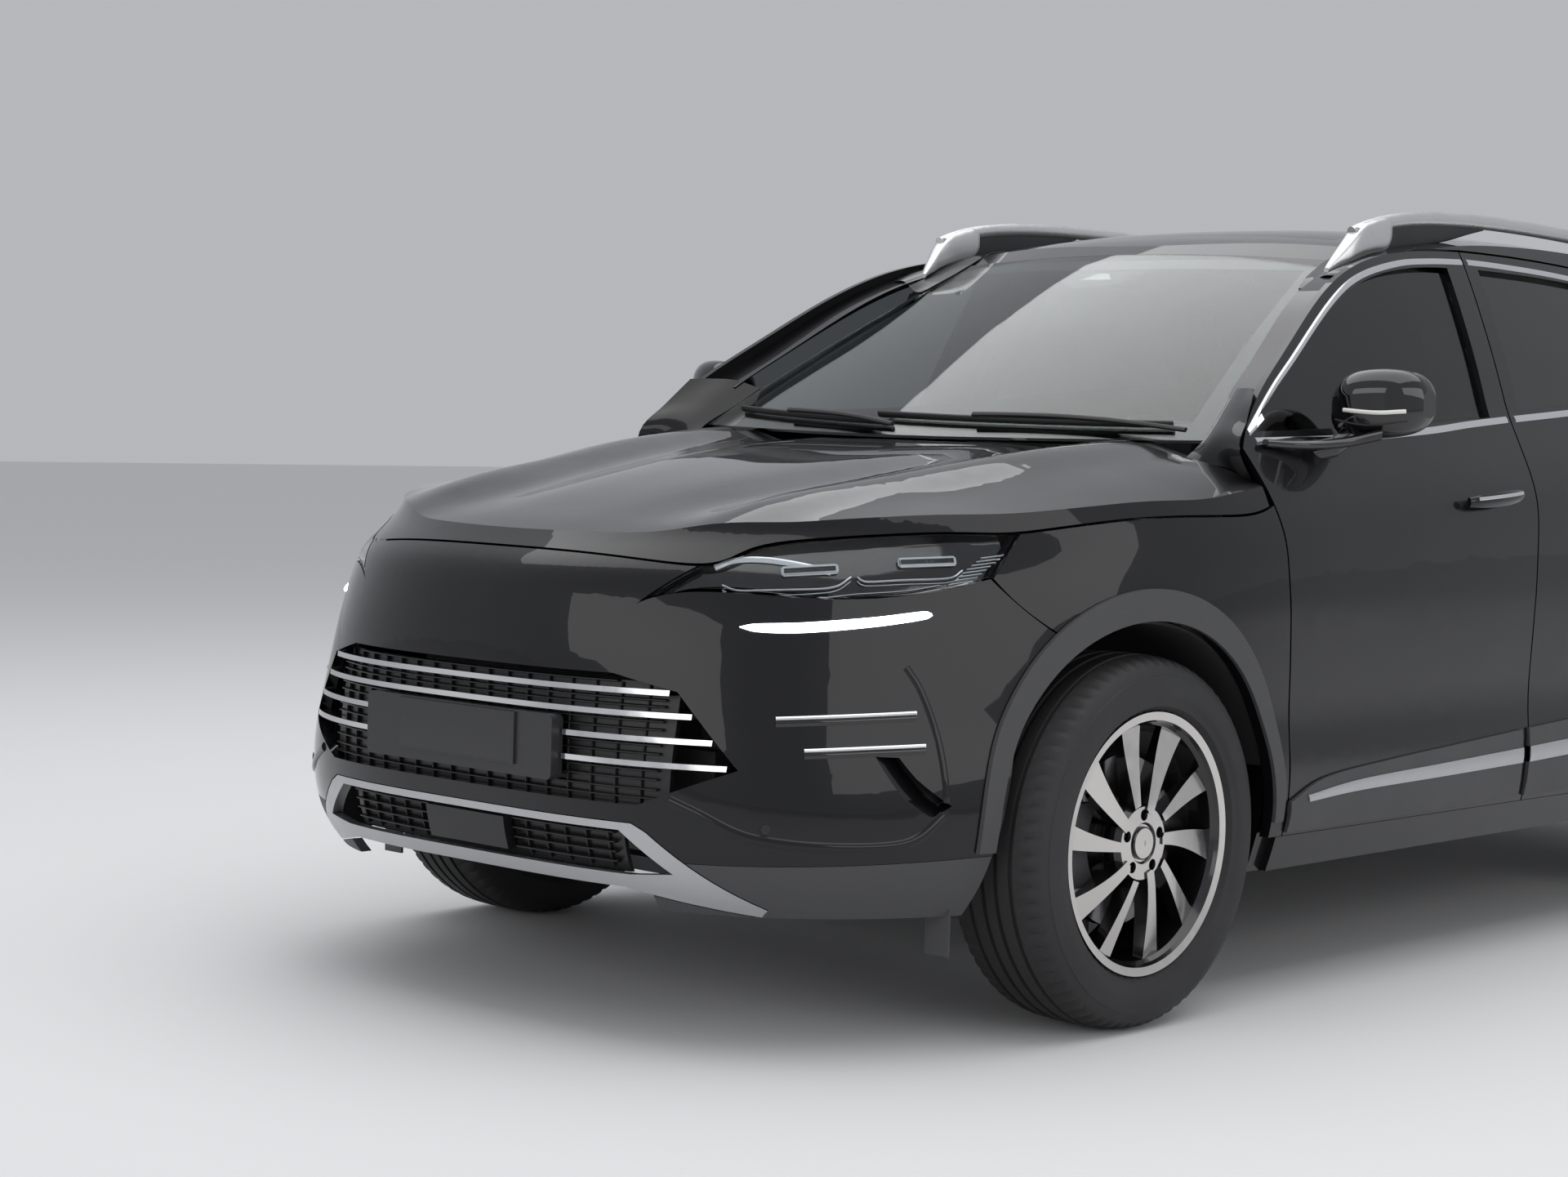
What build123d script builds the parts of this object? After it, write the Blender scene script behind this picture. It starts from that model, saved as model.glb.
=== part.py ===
from build123d import *
import math
import os
from functools import lru_cache

# A plug-in hybrid crossover: five-door monocoque body with hinged doors, bonnet, tailgate and
# filler flaps, steered front wheels and free-turning rear wheels.
# Millimetres. +X is the car's left, -Y its front, +Z up. The origin is on the ground, midway
# along the length.

# ---------------------------------------------------------------- driving dimensions
LENGTH = 4775.0
WHEELBASE = 2765.0
TRACK = 1630.0
FRONT_OVERHANG = 930.0
HALF_BODY = 938.0          # half width of the painted sides
TYRE_RADIUS = 359.0
TYRE_WIDTH = 235.0
GAP = 5.0                  # shut line
SKIN = 22.0                # a bolted panel
DOOR_THICK = 105.0
SEAL = 8.0                 # air between a door's inner face and its frame

NOSE = -LENGTH / 2
TAIL = LENGTH / 2
FRONT_AXLE = NOSE + FRONT_OVERHANG
REAR_AXLE = FRONT_AXLE + WHEELBASE
AXLES = {"front": FRONT_AXLE, "rear": REAR_AXLE}
WHEEL_X = TRACK / 2
FRONT_TAPER = -900.0       # ahead of this the plan curves in to the nose
REAR_TAPER = 760.0         # behind it, to the tail

# ---------------------------------------------------------------- form tables
# How far each height stands in from the widest point: (height, inset).
SIDE_INSET = [(180, 78), (250, 45), (330, 18), (400, 6), (470, 4), (570, 10), (700, 5), (820, 0),
              (930, 2), (990, 9), (1030, 21), (1080, 43), (1130, 70), (1190, 102), (1300, 148),
              (1400, 194), (1500, 244), (1560, 278), (1620, 326)]
# The belt line climbs to the rear: (y, rise).
BELT_RISE = [(-1100, -45), (-700, -28), (-395, -8), (0, 14), (293, 34), (700, 58), (1100, 82),
             (1500, 112), (2000, 125)]
# Where the centre line of the nose and of the tail stands at each height: (height, y).
NOSE_LINE = [(180, -2230), (250, -2310), (330, -2360), (400, -2376), (500, -2386), (600, NOSE),
             (680, NOSE), (740, -2385), (800, -2374), (850, -2353), (893, -2318), (950, -2245),
             (1700, -2240)]
TAIL_LINE = [(180, 2215), (260, 2300), (340, 2360), (420, 2380), (520, TAIL), (600, TAIL),
             (680, 2376), (740, 2346), (850, 2334), (950, 2326), (1030, 2306), (1100, 2270),
             (1200, 2208), (1300, 2150), (1400, 2092), (1500, 2035), (1560, 2000), (1620, 1962)]
# Centre line of the bonnet and of the roof: (y, height).
HOOD_LINE = [(-2420, 850), (-2340, 895), (-2250, 928), (-2100, 968), (-1900, 1012),
             (-1700, 1046), (-1500, 1073), (-1300, 1094), (-1150, 1106), (-950, 1118)]
ROOF_LINE = [(-460, 1500), (-351, 1556), (-250, 1590), (-100, 1619), (100, 1640), (400, 1650),
             (800, 1645), (1200, 1622), (1600, 1582), (1850, 1548), (2100, 1510)]
# How far the bonnet's edge lies below its centre: (y, drop).
HOOD_DROP = [(-2420, 0), (-2340, 2), (-2318, 8), (-2222, 32), (-2154, 29), (-2063, 30),
             (-1949, 39), (-1844, 52), (-1752, 64), (-1461, 76), (-1236, 92), (-1080, 90), (-950, 84)]


# Half width at which the bonnet has that drop: (y, x).
HOOD_EDGE = [(-2420, 480), (-2318, 520), (-2222, 570), (-2154, 620), (-2063, 685), (-1949, 745),
             (-1844, 792), (-1752, 825), (-1461, 880), (-1236, 910), (-950, 935)]


def curve(table, t):
    """A smooth curve through (t, value) pairs that never overshoots them."""
    n = len(table)
    t = min(max(t, table[0][0]), table[-1][0])
    h = [table[i + 1][0] - table[i][0] for i in range(n - 1)]
    d = [(table[i + 1][1] - table[i][1]) / h[i] for i in range(n - 1)]
    k = max(i for i in range(n - 1) if table[i][0] <= t or i == 0)

    def slope(i):
        if i in (0, n - 1):
            return d[0] if i == 0 else d[-1]
        if d[i - 1] * d[i] <= 0:
            return 0.0
        w1, w2 = 2 * h[i] + h[i - 1], h[i] + 2 * h[i - 1]
        return (w1 + w2) / (w1 / d[i - 1] + w2 / d[i])

    s = (t - table[k][0]) / h[k]
    a, b = slope(k) * h[k], slope(k + 1) * h[k]
    v0, v1 = table[k][1], table[k + 1][1]
    return v0 + s * a + s * s * (3 * (v1 - v0) - 2 * a - b) + s ** 3 * (2 * (v0 - v1) + a + b)


def ease(a, b, t):
    """0 before a, 1 after b and smooth between."""
    s = min(max((t - a) / (b - a), 0.0), 1.0)
    return s * s * (3 - 2 * s)


# ---------------------------------------------------------------- master surfaces
def side_width(y, z):
    """Half width at a height before the plan curves in at either end."""
    lifted = z - curve(BELT_RISE, y) * ease(700, 1000, z)
    return HALF_BODY - curve(SIDE_INSET, lifted)


def plan_power(y, z):
    if y < FRONT_TAPER:
        return 3.3 - ease(340, 900, z) * 0.8
    return 4.0 - ease(900, 1500, z) * 0.9


def half_width(y, z):
    """Half width of the body at a station and a height."""
    if y < FRONT_TAPER:
        share = (FRONT_TAPER - y) / (FRONT_TAPER - curve(NOSE_LINE, z))
    elif y > REAR_TAPER:
        share = (y - REAR_TAPER) / (curve(TAIL_LINE, z) - REAR_TAPER)
    else:
        share = 0.0
    n = plan_power(y, z)
    return side_width(y, z) * max(0.0, 1 - min(share, 1.0) ** n) ** (1 / n)


def hood_height(x, y):
    """Bonnet surface: crowned, with a ridge each side running to the lamps."""
    share = abs(x) / curve(HOOD_EDGE, y)
    ridge_x = 420 + 150 * ease(-2350, -1150, y)
    ridge = 20 * math.exp(-(((abs(x) - ridge_x) / 84) ** 2)) * ease(-2330, -1950, y)
    valley = 14 * math.exp(-(((abs(x) - ridge_x + 165) / 105) ** 2)) * ease(-2300, -1900, y)
    power = 2.6 + 3.4 * ease(-1800, -1100, y)
    return curve(HOOD_LINE, y) - curve(HOOD_DROP, y) * share ** power + ridge - valley


def glass_height(x, y):
    """Windscreen surface, carried on beyond the glass."""
    low = -1152 + 125 * (x / 709) ** 2
    high = -351 + 55 * (x / 519) ** 2
    s = (y - low) / (high - low)
    return 1112 + 12 * (x / 709) ** 2 + s * 442 + 70 * s * (1 - s) - 20 * (x / 519) ** 2 * s


def roof_height(x, y):
    return curve(ROOF_LINE, y) - 42 * (abs(x) / 620) ** 2.5


def spread(a, b, count):
    return [a + (b - a) * i / (count - 1) for i in range(count)]


def surface(rows):
    return Face.make_surface_from_array_of_points(rows, tol=0.4, min_deg=3, max_deg=3)


@lru_cache(maxsize=None)
def end_volume(end, inset, low, high):
    """Everything inside the nose or the tail, brought in by inset, between two heights."""
    hub = FRONT_TAPER if end == "front" else REAR_TAPER
    sign = -1 if end == "front" else 1
    line = NOSE_LINE if end == "front" else TAIL_LINE
    wires = []
    for z in spread(low, high, max(6, int((high - low) / 66))):
        reach = abs(curve(line, z) - hub) - inset
        row = []
        for angle in spread(-90, 90, 35):
            a = math.radians(angle)
            y = hub
            for _ in range(3):
                n, wide = plan_power(y, z), side_width(y, z) - inset
                r = ((abs(math.sin(a)) / wide) ** n + (math.cos(a) / reach) ** n) ** (-1 / n)
                y = hub + sign * r * math.cos(a)
            row.append(Vector(r * math.sin(a), y, z))
        row[0], row[-1] = Vector(row[0].X, hub, z), Vector(row[-1].X, hub, z)
        wires.append(Wire([Edge.make_spline(row, parameters=spread(0, 1, 35)),
                           Edge.make_line(row[-1], row[0])]))
    return Solid.make_loft(wires)


@lru_cache(maxsize=None)
def side_slab(near, far):
    """The left side between two depths under its outer surface."""
    rows = [[(half_width(y, z) - near, y, z) for y in spread(-1170, 1170, 20)]
            for z in spread(190, 1615, 30)]
    return extrude(surface(rows), amount=far - near, dir=(-1, 0, 0))


@lru_cache(maxsize=None)
def under(height, y0, y1, deep, lift=0.0, wide=1000):
    """Everything below a height surface, or above it when deep is negative."""
    rows = [[(x, y, height(x, y) + lift) for x in spread(-wide, wide, 45)]
            for y in spread(y0, y1, 30)]
    return extrude(surface(rows), amount=abs(deep), dir=(0, 0, -1 if deep > 0 else 1))


def above_glass(lift=0.0):
    return under(glass_height, -1300, 0, -900, lift, 1000)


def above_roof(lift=0.0):
    return under(roof_height, -470, 2120, -900, lift, 800)


@lru_cache(maxsize=None)
def nose(near, far):
    """The nose skin between two depths: sides, front and bonnet."""
    outer = end_volume("front", near, 150, 1230) & under(hood_height, -2450, -880, 1300, -near)
    inner = end_volume("front", far, 140, 1240) & under(hood_height, -2450, -880, 1310, -far)
    return outer - inner


@lru_cache(maxsize=None)
def tail(near, far):
    """The tail skin between two depths: quarters, tailgate and bumper."""
    return (end_volume("rear", near, 190, 1615) - end_volume("rear", far, 180, 1620)) - above_roof()


# ---------------------------------------------------------------- outlines
def loop(*runs):
    """A closed wire of runs: two points make a line and more make a spline."""
    edges = []
    for run in runs:
        points = [Vector(*p) for p in run]
        edges.append(Edge.make_line(*points) if len(points) == 2 else Edge.make_spline(points))
    return Wire(edges)


def side_prism(*runs, x0=0.0, x1=1100.0):
    """Runs of (y, z) pushed along X."""
    face = Face(loop(*[[(x0, y, z) for y, z in run] for run in runs]))
    return extrude(face, amount=x1 - x0, dir=(1, 0, 0))


def front_prism(*runs, y0=-2600.0, y1=-1000.0):
    """Runs of (x, z) pushed along Y."""
    face = Face(loop(*[[(x, y0, z) for x, z in run] for run in runs]))
    return extrude(face, amount=y1 - y0, dir=(0, 1, 0))


def plan_prism(*runs, z0=0.0, z1=1800.0):
    """Runs of (x, y) pushed along Z."""
    face = Face(loop(*[[(x, y, z0) for x, y in run] for run in runs]))
    return extrude(face, amount=z1 - z0, dir=(0, 0, 1))


def block(x0, x1, y0, y1, z0, z1):
    return Pos((x0 + x1) / 2, (y0 + y1) / 2, (z0 + z1) / 2) * Box(x1 - x0, y1 - y0, z1 - z0)


def arch(axle, half, rise, x0=0.0, x1=1100.0):
    """Wheel arch opening: an ellipse over the axle with straight sides down."""
    oval = Pos(x0, axle, TYRE_RADIUS) * Rot(0, 90, 0) * extrude(Ellipse(rise, half), amount=x1 - x0)
    return oval + block(x0, x1, axle - half, axle + half, 0, TYRE_RADIUS)


def both(shape):
    """The same solids on the right."""
    return Compound(children=[shape, mirror(shape, about=Plane.YZ)])


def right(shape):
    return mirror(shape, about=Plane.YZ)


def corners(points):
    """Straight runs round a closed outline."""
    return [[points[i], points[(i + 1) % len(points)]] for i in range(len(points))]


# Door outlines in side view: front edge, top edge, rear edge and foot.
def door_front_runs(d=0.0):
    front = [(-1010 + d, 338 + d), (-1008 + d, 527), (-1016 + d, 662), (-1036 + d, 830),
             (-1060 + d, 985), (-1096 + 1.4 * d, 1112 - d * 0.5)]
    top = [(-1096 + 1.4 * d, 1112 - d * 0.5), (-955 + d, 1241 - d), (-833 + d, 1317 - d),
           (-612 + d * 0.6, 1446 - d), (-455 + d * 0.4, 1511 - d), (-272, 1551 - d),
           (-123, 1566 - d), (22 - d, 1572 - d)]
    rear = [(22 - d, 1572 - d), (-26 - d, 1230), (-46 - d, 1020), (-52 - d, 800), (-52 - d, 338 + d)]
    foot = [(-52 - d, 338 + d), (-1010 + d, 338 + d)]
    return front, top, rear, foot


def door_rear_runs(d=0.0):
    front = [(-47 + d, 338 + d), (-47 + d, 800), (-41 + d, 1020), (-21 + d, 1230),
             (27 + d, 1572 - d)]
    top = [(27 + d, 1572 - d), (157, 1572 - d), (522, 1560 - d), (800, 1536 - d),
           (985 - d, 1508 - d)]
    rear = [(985 - d, 1508 - d), (1045 - d, 1400), (1078 - d, 1260), (1072 - d, 1080),
            (1010 - d, 920), (905 - d, 790), (830 - d, 650), (800 - d, 500), (790 - d, 338 + d)]
    foot = [(790 - d, 338 + d), (-47 + d, 338 + d)]
    return front, top, rear, foot


def window_front_runs():
    front = [(-1040, 1158), (-925, 1226), (-820, 1288), (-600, 1414), (-445, 1478), (-268, 1516),
             (-60, 1531)]
    return front, [(-60, 1531), (-112, 1193)], [(-112, 1193), (-500, 1170), (-1040, 1146)], [
        (-1040, 1146), (-1040, 1158)]


def window_rear_runs():
    top = [(72, 1534), (300, 1531), (522, 1521), (760, 1500), (925, 1476)]
    rear = [(925, 1476), (985, 1380), (1005, 1290)]
    return top, rear, [(1005, 1290), (500, 1250), (24, 1208)], [(24, 1208), (72, 1534)]


def quarter_runs():
    return ([(1105, 1432), (1300, 1405), (1560, 1352)], [(1560, 1352), (1540, 1330)],
            [(1540, 1330), (1330, 1318), (1112, 1305)], [(1112, 1305), (1105, 1432)])


# Bonnet shut line in side view.
HOOD_SHUT = [(-2345, 897), (-2316, 894), (-2300, 891), (-2280, 886), (-2222, 880), (-2154, 908),
             (-2063, 930), (-1949, 942), (-1844, 947), (-1774, 947), (-1680, 956), (-1461, 978),
             (-1236, 983), (-1080, 1001), (-1024, 1030)]


def shut_region(d):
    """Everything above the bonnet's shut line raised by d."""
    low = [(y, z + d) for y, z in HOOD_SHUT]
    return side_prism(low, [low[-1], (-1024, 1400)], [(-1024, 1400), (-2345, 1400)],
                      [(-2345, 1400), low[0]], x0=-1100)


def hood_plan(d):
    """Plan of the bonnet back to its rear edge."""
    rear = [(-1000, -1086 + d), (-860, -1086 + d), (-700, -1105 + d), (-350, -1156 + d),
            (0, -1174 + d), (350, -1156 + d), (700, -1105 + d), (860, -1086 + d), (1000, -1086 + d)]
    return plan_prism(rear, [rear[-1], (1000, -2500)], [(1000, -2500), (-1000, -2500)],
                      [(-1000, -2500), rear[0]])


def lamp_outline(d):
    """Headlamp seen from ahead, brought in by d."""
    top = [(470 + d, 880 - d), (521, 906 - d), (595, 927 - d), (685, 939 - d), (751, 944 - d),
           (798 - d, 943 - d)]
    outer = [(798 - d, 943 - d), (800 - d, 866 + d)]
    low = [(800 - d, 866 + d), (769, 846 + d), (643, 827 + d), (390 + 2 * d, 806 + d)]
    return front_prism(top, outer, low, [(390 + 2 * d, 806 + d), (470 + d, 880 - d)])


# ---------------------------------------------------------------- doors


def door(runs, window):
    outer = side_slab(0, 15) & side_prism(*runs(0.0))
    inner = side_slab(14, DOOR_THICK) & side_prism(*runs(20.0))
    leaf = (outer + inner) - side_prism(*window())
    return leaf


def door_glass(window):
    return side_slab(14, 19) & side_prism(*window())


# ---------------------------------------------------------------- body shell
FLAP_Y, FLAP_Z = 1600.0, 965.0


def keep(shape, least=2e4):
    """The real solids of a cut shape, without the crumbs of a cut."""
    solids = [s for s in shape.solids() if s.volume > least]
    return solids[0] if len(solids) == 1 else Compound(children=solids)


def frame_cuts(ring):
    """Door apertures with a flange for the doors to shut against, and the roof's seat."""
    for runs in (door_front_runs, door_rear_runs):
        ring = ring - (side_slab(-20, DOOR_THICK + SEAL) & side_prism(*runs(-GAP)))
        ring = ring - side_prism(*runs(48.0))
    return ring - above_roof() - roof_cut(3.0)


def body_side():
    """Pillars, cant rail and sill of one side."""
    ring = side_slab(0, 150) & block(0, 1000, -1120, 860, 262, 1612)
    ring = frame_cuts(ring) - above_glass() - windscreen_slab(-2.0, 9.0)
    ring = ring - block(0, 1000, -1200, -1058, 150, 1050)
    ring = ring - (side_slab(-5, 30) & block(0, 1000, -1200, -1010, 150, 1046))
    ring = ring - under(hood_height, -1300, -880, 400, 6.0)
    return keep(ring - (side_slab(-5, 14) & block(500, 1000, -1200, 870, 200, 334)), 1e6)


def quarter_panel():
    """Rear wing with its pillar, from the door to the tailgate."""
    panel = tail(0, 120) & block(0, 1000, 860.5, 2400, 262, 1612)
    panel = frame_cuts(panel) - tailgate_region(GAP) - rear_bumper_region(2.0)
    panel = panel - arch(REAR_AXLE, 397, 425, x0=560) - side_prism(*quarter_runs())
    recess = tail(-5, 34)
    return keep(panel - (recess & lamp_region(2.0)) - (recess & flap(FLAP_Y, FLAP_Z, 172, 172, GAP)))


ROOF_EDGE = [(-480, 505), (-330, 530), (0, 572), (400, 588), (1000, 576), (1500, 545), (2000, 500)]
ROOF_BACK = 1790.0


@lru_cache(maxsize=None)
def roof_plan(d, y1=ROOF_BACK, y0=-480):
    stations = spread(y0, y1, 9)
    left = [(curve(ROOF_EDGE, y) + d, y) for y in stations]
    back = [(-x, y) for x, y in reversed(left)]
    return plan_prism(left, [left[-1], back[0]], back, [back[-1], left[0]], z0=1380)


@lru_cache(maxsize=None)
def roof_cut(d):
    """Room for the roof panel."""
    return (under(roof_height, -470, 2120, 40, 5, 800)) & roof_plan(d, 2100)


def windscreen_plan(d):
    low = [(-712 - d, -1030 - d), (-450, -1100 - d), (0, -1150 - d), (450, -1100 - d),
           (712 + d, -1030 - d)]
    side = [(712 + d, -1030 - d), (655 + d, -820), (575 + d, -530), (522 + d, -300 + d)]
    top = [(522 + d, -300 + d), (300, -333 + d), (0, -347 + d), (-300, -333 + d), (-522 - d, -300 + d)]
    back = [(-x, y) for x, y in reversed(side)]
    return plan_prism(low, side, top, back, z0=900)


@lru_cache(maxsize=None)
def windscreen_slab(d, thick):
    return under(glass_height, -1300, 0, thick, 0.0, 800) & windscreen_plan(d)


def glass_roof_plan(d):
    return plan_prism(*[[a, b] for a, b in zip(
        [(-430 - d, -150 - d), (430 + d, -150 - d), (440 + d, 1150 + d), (-440 - d, 1150 + d)],
        [(430 + d, -150 - d), (440 + d, 1150 + d), (-440 - d, 1150 + d), (-430 - d, -150 - d)])],
        z0=1400)


def roof_panel():
    panel = under(roof_height, -470, 2120, 34, 0.0, 800) & roof_plan(0.0)
    panel = panel - above_glass(-3.0) - windscreen_plan(4.0)
    return panel - glass_roof_plan(2.0)


def fixed_glass():
    screen = windscreen_slab(-4.0, 6.0)
    sky = under(roof_height, -470, 2120, 6, 0.0, 800) & glass_roof_plan(0.0)
    quarter = tail(8, 13) & side_prism(*quarter_runs()) & block(0, 1000, 900, 1700, 1200, 1500)
    return [screen, sky, quarter, right(quarter)]


# ---------------------------------------------------------------- nose panels
def fender():
    outline = side_prism(
        [(-1739, 1100), (-1739, 943)], [(-1739, 943), (-1814, 864)],
        [(-1814, 864), (-1776, 822), (-1744, 797), (-1667, 752)], [(-1667, 752), (-1500, 500)],
        [(-1500, 500), (-1300, 338)], [(-1300, 338), (-1015, 338)],
        [(-1015, 338), (-1013, 527), (-1021, 662), (-1041, 830), (-1065, 985), (-1101, 1112)],
        [(-1101, 1112), (-1180, 1160)], [(-1180, 1160), (-1739, 1100)])
    wing = nose(0, SKIN) & outline
    return wing - shut_region(-GAP) - arch(FRONT_AXLE, 397, 425, x0=560)


def hood():
    panel = nose(0, SKIN) & shut_region(0.0) & hood_plan(0.0)
    return panel


def bumper_region():
    """Side view of the front bumper."""
    return side_prism(
        [(-2500, 250), (-1872, 250)], [(-1872, 250), (-1853, 359)], [(-1853, 359), (-1800, 560)],
        [(-1800, 560), (-1676, 752)], [(-1676, 752), (-1752, 800), (-1784, 826), (-1823, 866)],
        [(-1823, 866), (-1900, 1000)], [(-1900, 1000), (-2500, 1000)], [(-2500, 1000), (-2500, 250)],
        x0=-1100)


def grille_opening(d):
    """Upper grille and the two side intakes, seen from ahead."""
    upper = front_prism(*corners([(-365 + d, 679 - d), (365 - d, 679 - d), (484 - d, 652 - d),
                                  (596 - d, 519), (430 - d, 446 + d), (-430 + d, 446 + d),
                                  (-596 + d, 519), (-484 + d, 652 - d)]))
    slot = front_prism(*corners([(752 + d, 548 - d), (774 - d, 546 - d), (795 - d, 508),
                                 (828 - d, 458), (814 - d, 438 + d), (790 + d, 470)]))
    return [upper, slot, right(slot)]


def clad_region(d):
    """Everything below the seam between painted bumper and cladding."""
    return side_prism(*corners([(-2500, 340 + d), (-1800, 366 + d), (-1800, 100), (-2500, 100)]), x0=-1100)


def frame_outline(d):
    return front_prism(*corners([
        (-418 - d, 412 + d), (418 + d, 412 + d), (446 + d, 398 + d), (612 + d, 264 + d), (596, 250 - d),
        (380, 290 - d), (-380, 290 - d), (-596, 250 - d), (-612 - d, 264 + d), (-446 - d, 398 + d)]),
        y1=-2080)


def lower_frame():
    """Satin frame round the lower intake, with a prong down to each side."""
    hole = front_prism(*corners([(-392, 398), (392, 398), (486, 324), (400, 316), (-400, 316),
                                 (-486, 324)]))
    return (nose(0, SKIN) & frame_outline(0)) - hole


def front_bumper():
    skin = nose(0, SKIN) & bumper_region()
    skin = skin - shut_region(-GAP) - clad_region(0) - frame_outline(2)
    for part in grille_opening(0):
        skin = skin - part
    lamp = lamp_outline(-3)
    return keep(skin - lamp - right(lamp))


def nose_cladding():
    """Unpainted lower corners ahead of the wheels, with the small deflector under each."""
    skin = (nose(0, SKIN) & bumper_region() & clad_region(-1)) - frame_outline(2)
    flap = block(745, 800, -1905, -1899, 176, 268)
    return keep((skin & block(430, 1100, -2500, -1500, 200, 400)) + flap)


# ---------------------------------------------------------------- tail panels
def rear_bumper_region(d=0.0):
    top = [(1700, 690 + d), (1900, 706 + d), (2100, 716 + d), (2450, 716 + d)]
    return side_prism(top, [top[-1], (2450, 100)], [(2450, 100), (1640, 100)], [(1640, 100), top[0]],
                      x0=-1100)


def rear_bumper():
    skin = tail(0, 26) & rear_bumper_region(-2) & block(-1100, 1100, 1650, 2500, 430, 800)
    room = arch(REAR_AXLE, 397, 425, x0=500)
    return keep(skin - room - right(room))


def tail_cladding():
    """Unpainted lower part of the rear bumper."""
    skin = tail(0, 26) & block(-1100, 1100, 1650, 2500, 262, 428)
    room = arch(REAR_AXLE, 397, 425, x0=500)
    return keep(skin - room - right(room) - block(-430, 430, 2200, 2500, 200, 395))


def rear_skid():
    plate = tail(0, 26) & front_prism(*corners([(-426, 391), (426, 391), (400, 268), (-400, 268)]),
                                      y0=2300, y1=2500)
    return plate


def tailgate_outline(d):
    low = [(-590 - d, 722 - d), (590 + d, 722 - d)]
    side = [(590 + d, 722 - d), (640 + d, 800), (655 + d, 900), (640 + d, 1010), (600 + d, 1150),
            (560 + d, 1300), (520 + d, 1450), (490 + d, 1530), (480 + d, 1640)]
    top = [(480 + d, 1640), (-480 - d, 1640)]
    return low, side, top, [(-x, z) for x, z in reversed(side)]


@lru_cache(maxsize=None)
def tailgate_region(d):
    return front_prism(*tailgate_outline(d), y0=ROOF_BACK + 5 - d, y1=2500)


def tailgate_window(d=0.0):
    low = [(-545 + d, 1075 + d), (0, 1062 + d), (545 - d, 1075 + d)]
    side = [(545 - d, 1075 + d), (500 - d, 1250), (445 - d, 1462 - d)]
    top = [(445 - d, 1462 - d), (0, 1480 - d), (-445 + d, 1462 - d)]
    return front_prism(low, side, top, [(-x, z) for x, z in reversed(side)], y0=1700, y1=2500)


def tailgate():
    leaf = tail(0, 62) & tailgate_region(0)
    leaf = leaf - (tail(9, 70) & (tailgate_region(3) - tailgate_region(-16)))    # the inner panel stands in from the skin's edge
    leaf = leaf - tailgate_window() - rear_bumper_region(1.0)
    lid = (under(roof_height, -470, 2120, 34, 0.0, 800) & block(-480, 480, ROOF_BACK + 5, 2045, 1380, 1700))
    return keep(leaf + lid)


def lamp_region(d):
    """Rear lamps seen from the side and from behind."""
    return block(300, 1100, 2060, 2500, 858 - d, 962 + d)


def tail_lamp():
    body = (tail(0, 26) & lamp_region(0)) - tailgate_region(GAP + 1)
    return body & block(0, 1100, 2064, 2500, 800, 1000)


# ---------------------------------------------------------------- cladding
def arch_trim(axle):
    """Cladding round one wheel arch, lying on the painted panel."""
    zone = arch(axle, 431, 485, x0=600) - arch(axle, 396, 424, x0=560)
    zone = zone & block(500, 1100, axle - 500, axle + 426, 300, 1000)
    if axle < 0:
        band = (nose(-9, -1) & zone) - shut_region(-GAP)
        return band & block(500, 1100, -2300, -1019, 370, 1000)
    band = (tail(-9, -1) & zone & block(0, 1100, 800, 2500, 0, 2000))
    return band & block(500, 1100, 838, 2500, 340, 1000)


# ---------------------------------------------------------------- under structure
def underbody():
    """Floor, tunnel, bulkhead, wheel houses, chassis legs and boot floor in one pressing."""
    shell = block(-738, 738, -1060, 900, 225, 255)
    shell = shell + block(-110, 110, -1060, 500, 250, 330)
    shell = shell + block(-700, 700, 560, 600, 250, 430) + block(-520, 520, 560, 2240, 420, 450)
    shell = shell + block(-735, 735, -1062, -1045, 225, 960) + block(-735, 735, -1062, -1022, 930, 960)
    shell = shell + block(-500, 500, -2215, -2175, 380, 540) + block(-520, 520, 2230, 2270, 380, 560)
    shell = shell + both(block(440, 500, -2180, -1050, 420, 520)) + both(block(455, 520, 560, 2250, 330, 425))
    shell = shell + both(block(690, 738, -1010, 860, 225, 330))
    shell = shell - both(arch(FRONT_AXLE, 412, 417, x0=504))     # the steered tyre turns in here
    shell = shell + both(block(504, 735, FRONT_AXLE + 412, FRONT_AXLE + 420, 225, 480))
    for axle, half, low in ((FRONT_AXLE, 412, 470), (REAR_AXLE, 389, 420)):
        house = (arch(axle, half + 6, 423, x0=494) - arch(axle, half, 417, x0=504)) & block(
            490, 900 if axle < 0 else 812, axle - half - 31, axle + half + 31, low, 900)
        if axle < 0:
            house = house & end_volume("front", 27, 140, 1240)
            house = house - block(775, 1100, FRONT_AXLE + 394, FRONT_AXLE + 460, 200, 900)
        shell = shell + both(house)
    strut_room = Pos(608, FRONT_AXLE, 770) * Cylinder(84, 120)
    return shell - strut_room - right(strut_room)


def revolve_x(points, x=0.0, y=0.0, z=0.0):
    """A profile of (x, radius) points turned about the X axis."""
    profile = Polyline(*[(px, 0, r) for px, r in points], close=True)
    face = Face(Wire(profile.edges()))
    return Pos(x, y, z) * revolve(face, Axis.X)


def tyre(x, y):
    half = TYRE_WIDTH / 2
    wall = [(95.5, 254), (half - 5, 264), (half, 290), (half - 4, 322), (half - 20, 349), (half - 48, 357.5)]
    points = [(-px, r) for px, r in wall] + [(0, TYRE_RADIUS)] + wall[::-1] + [(92, 244), (-92, 244)]
    return revolve_x(points, x, y, TYRE_RADIUS)


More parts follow.
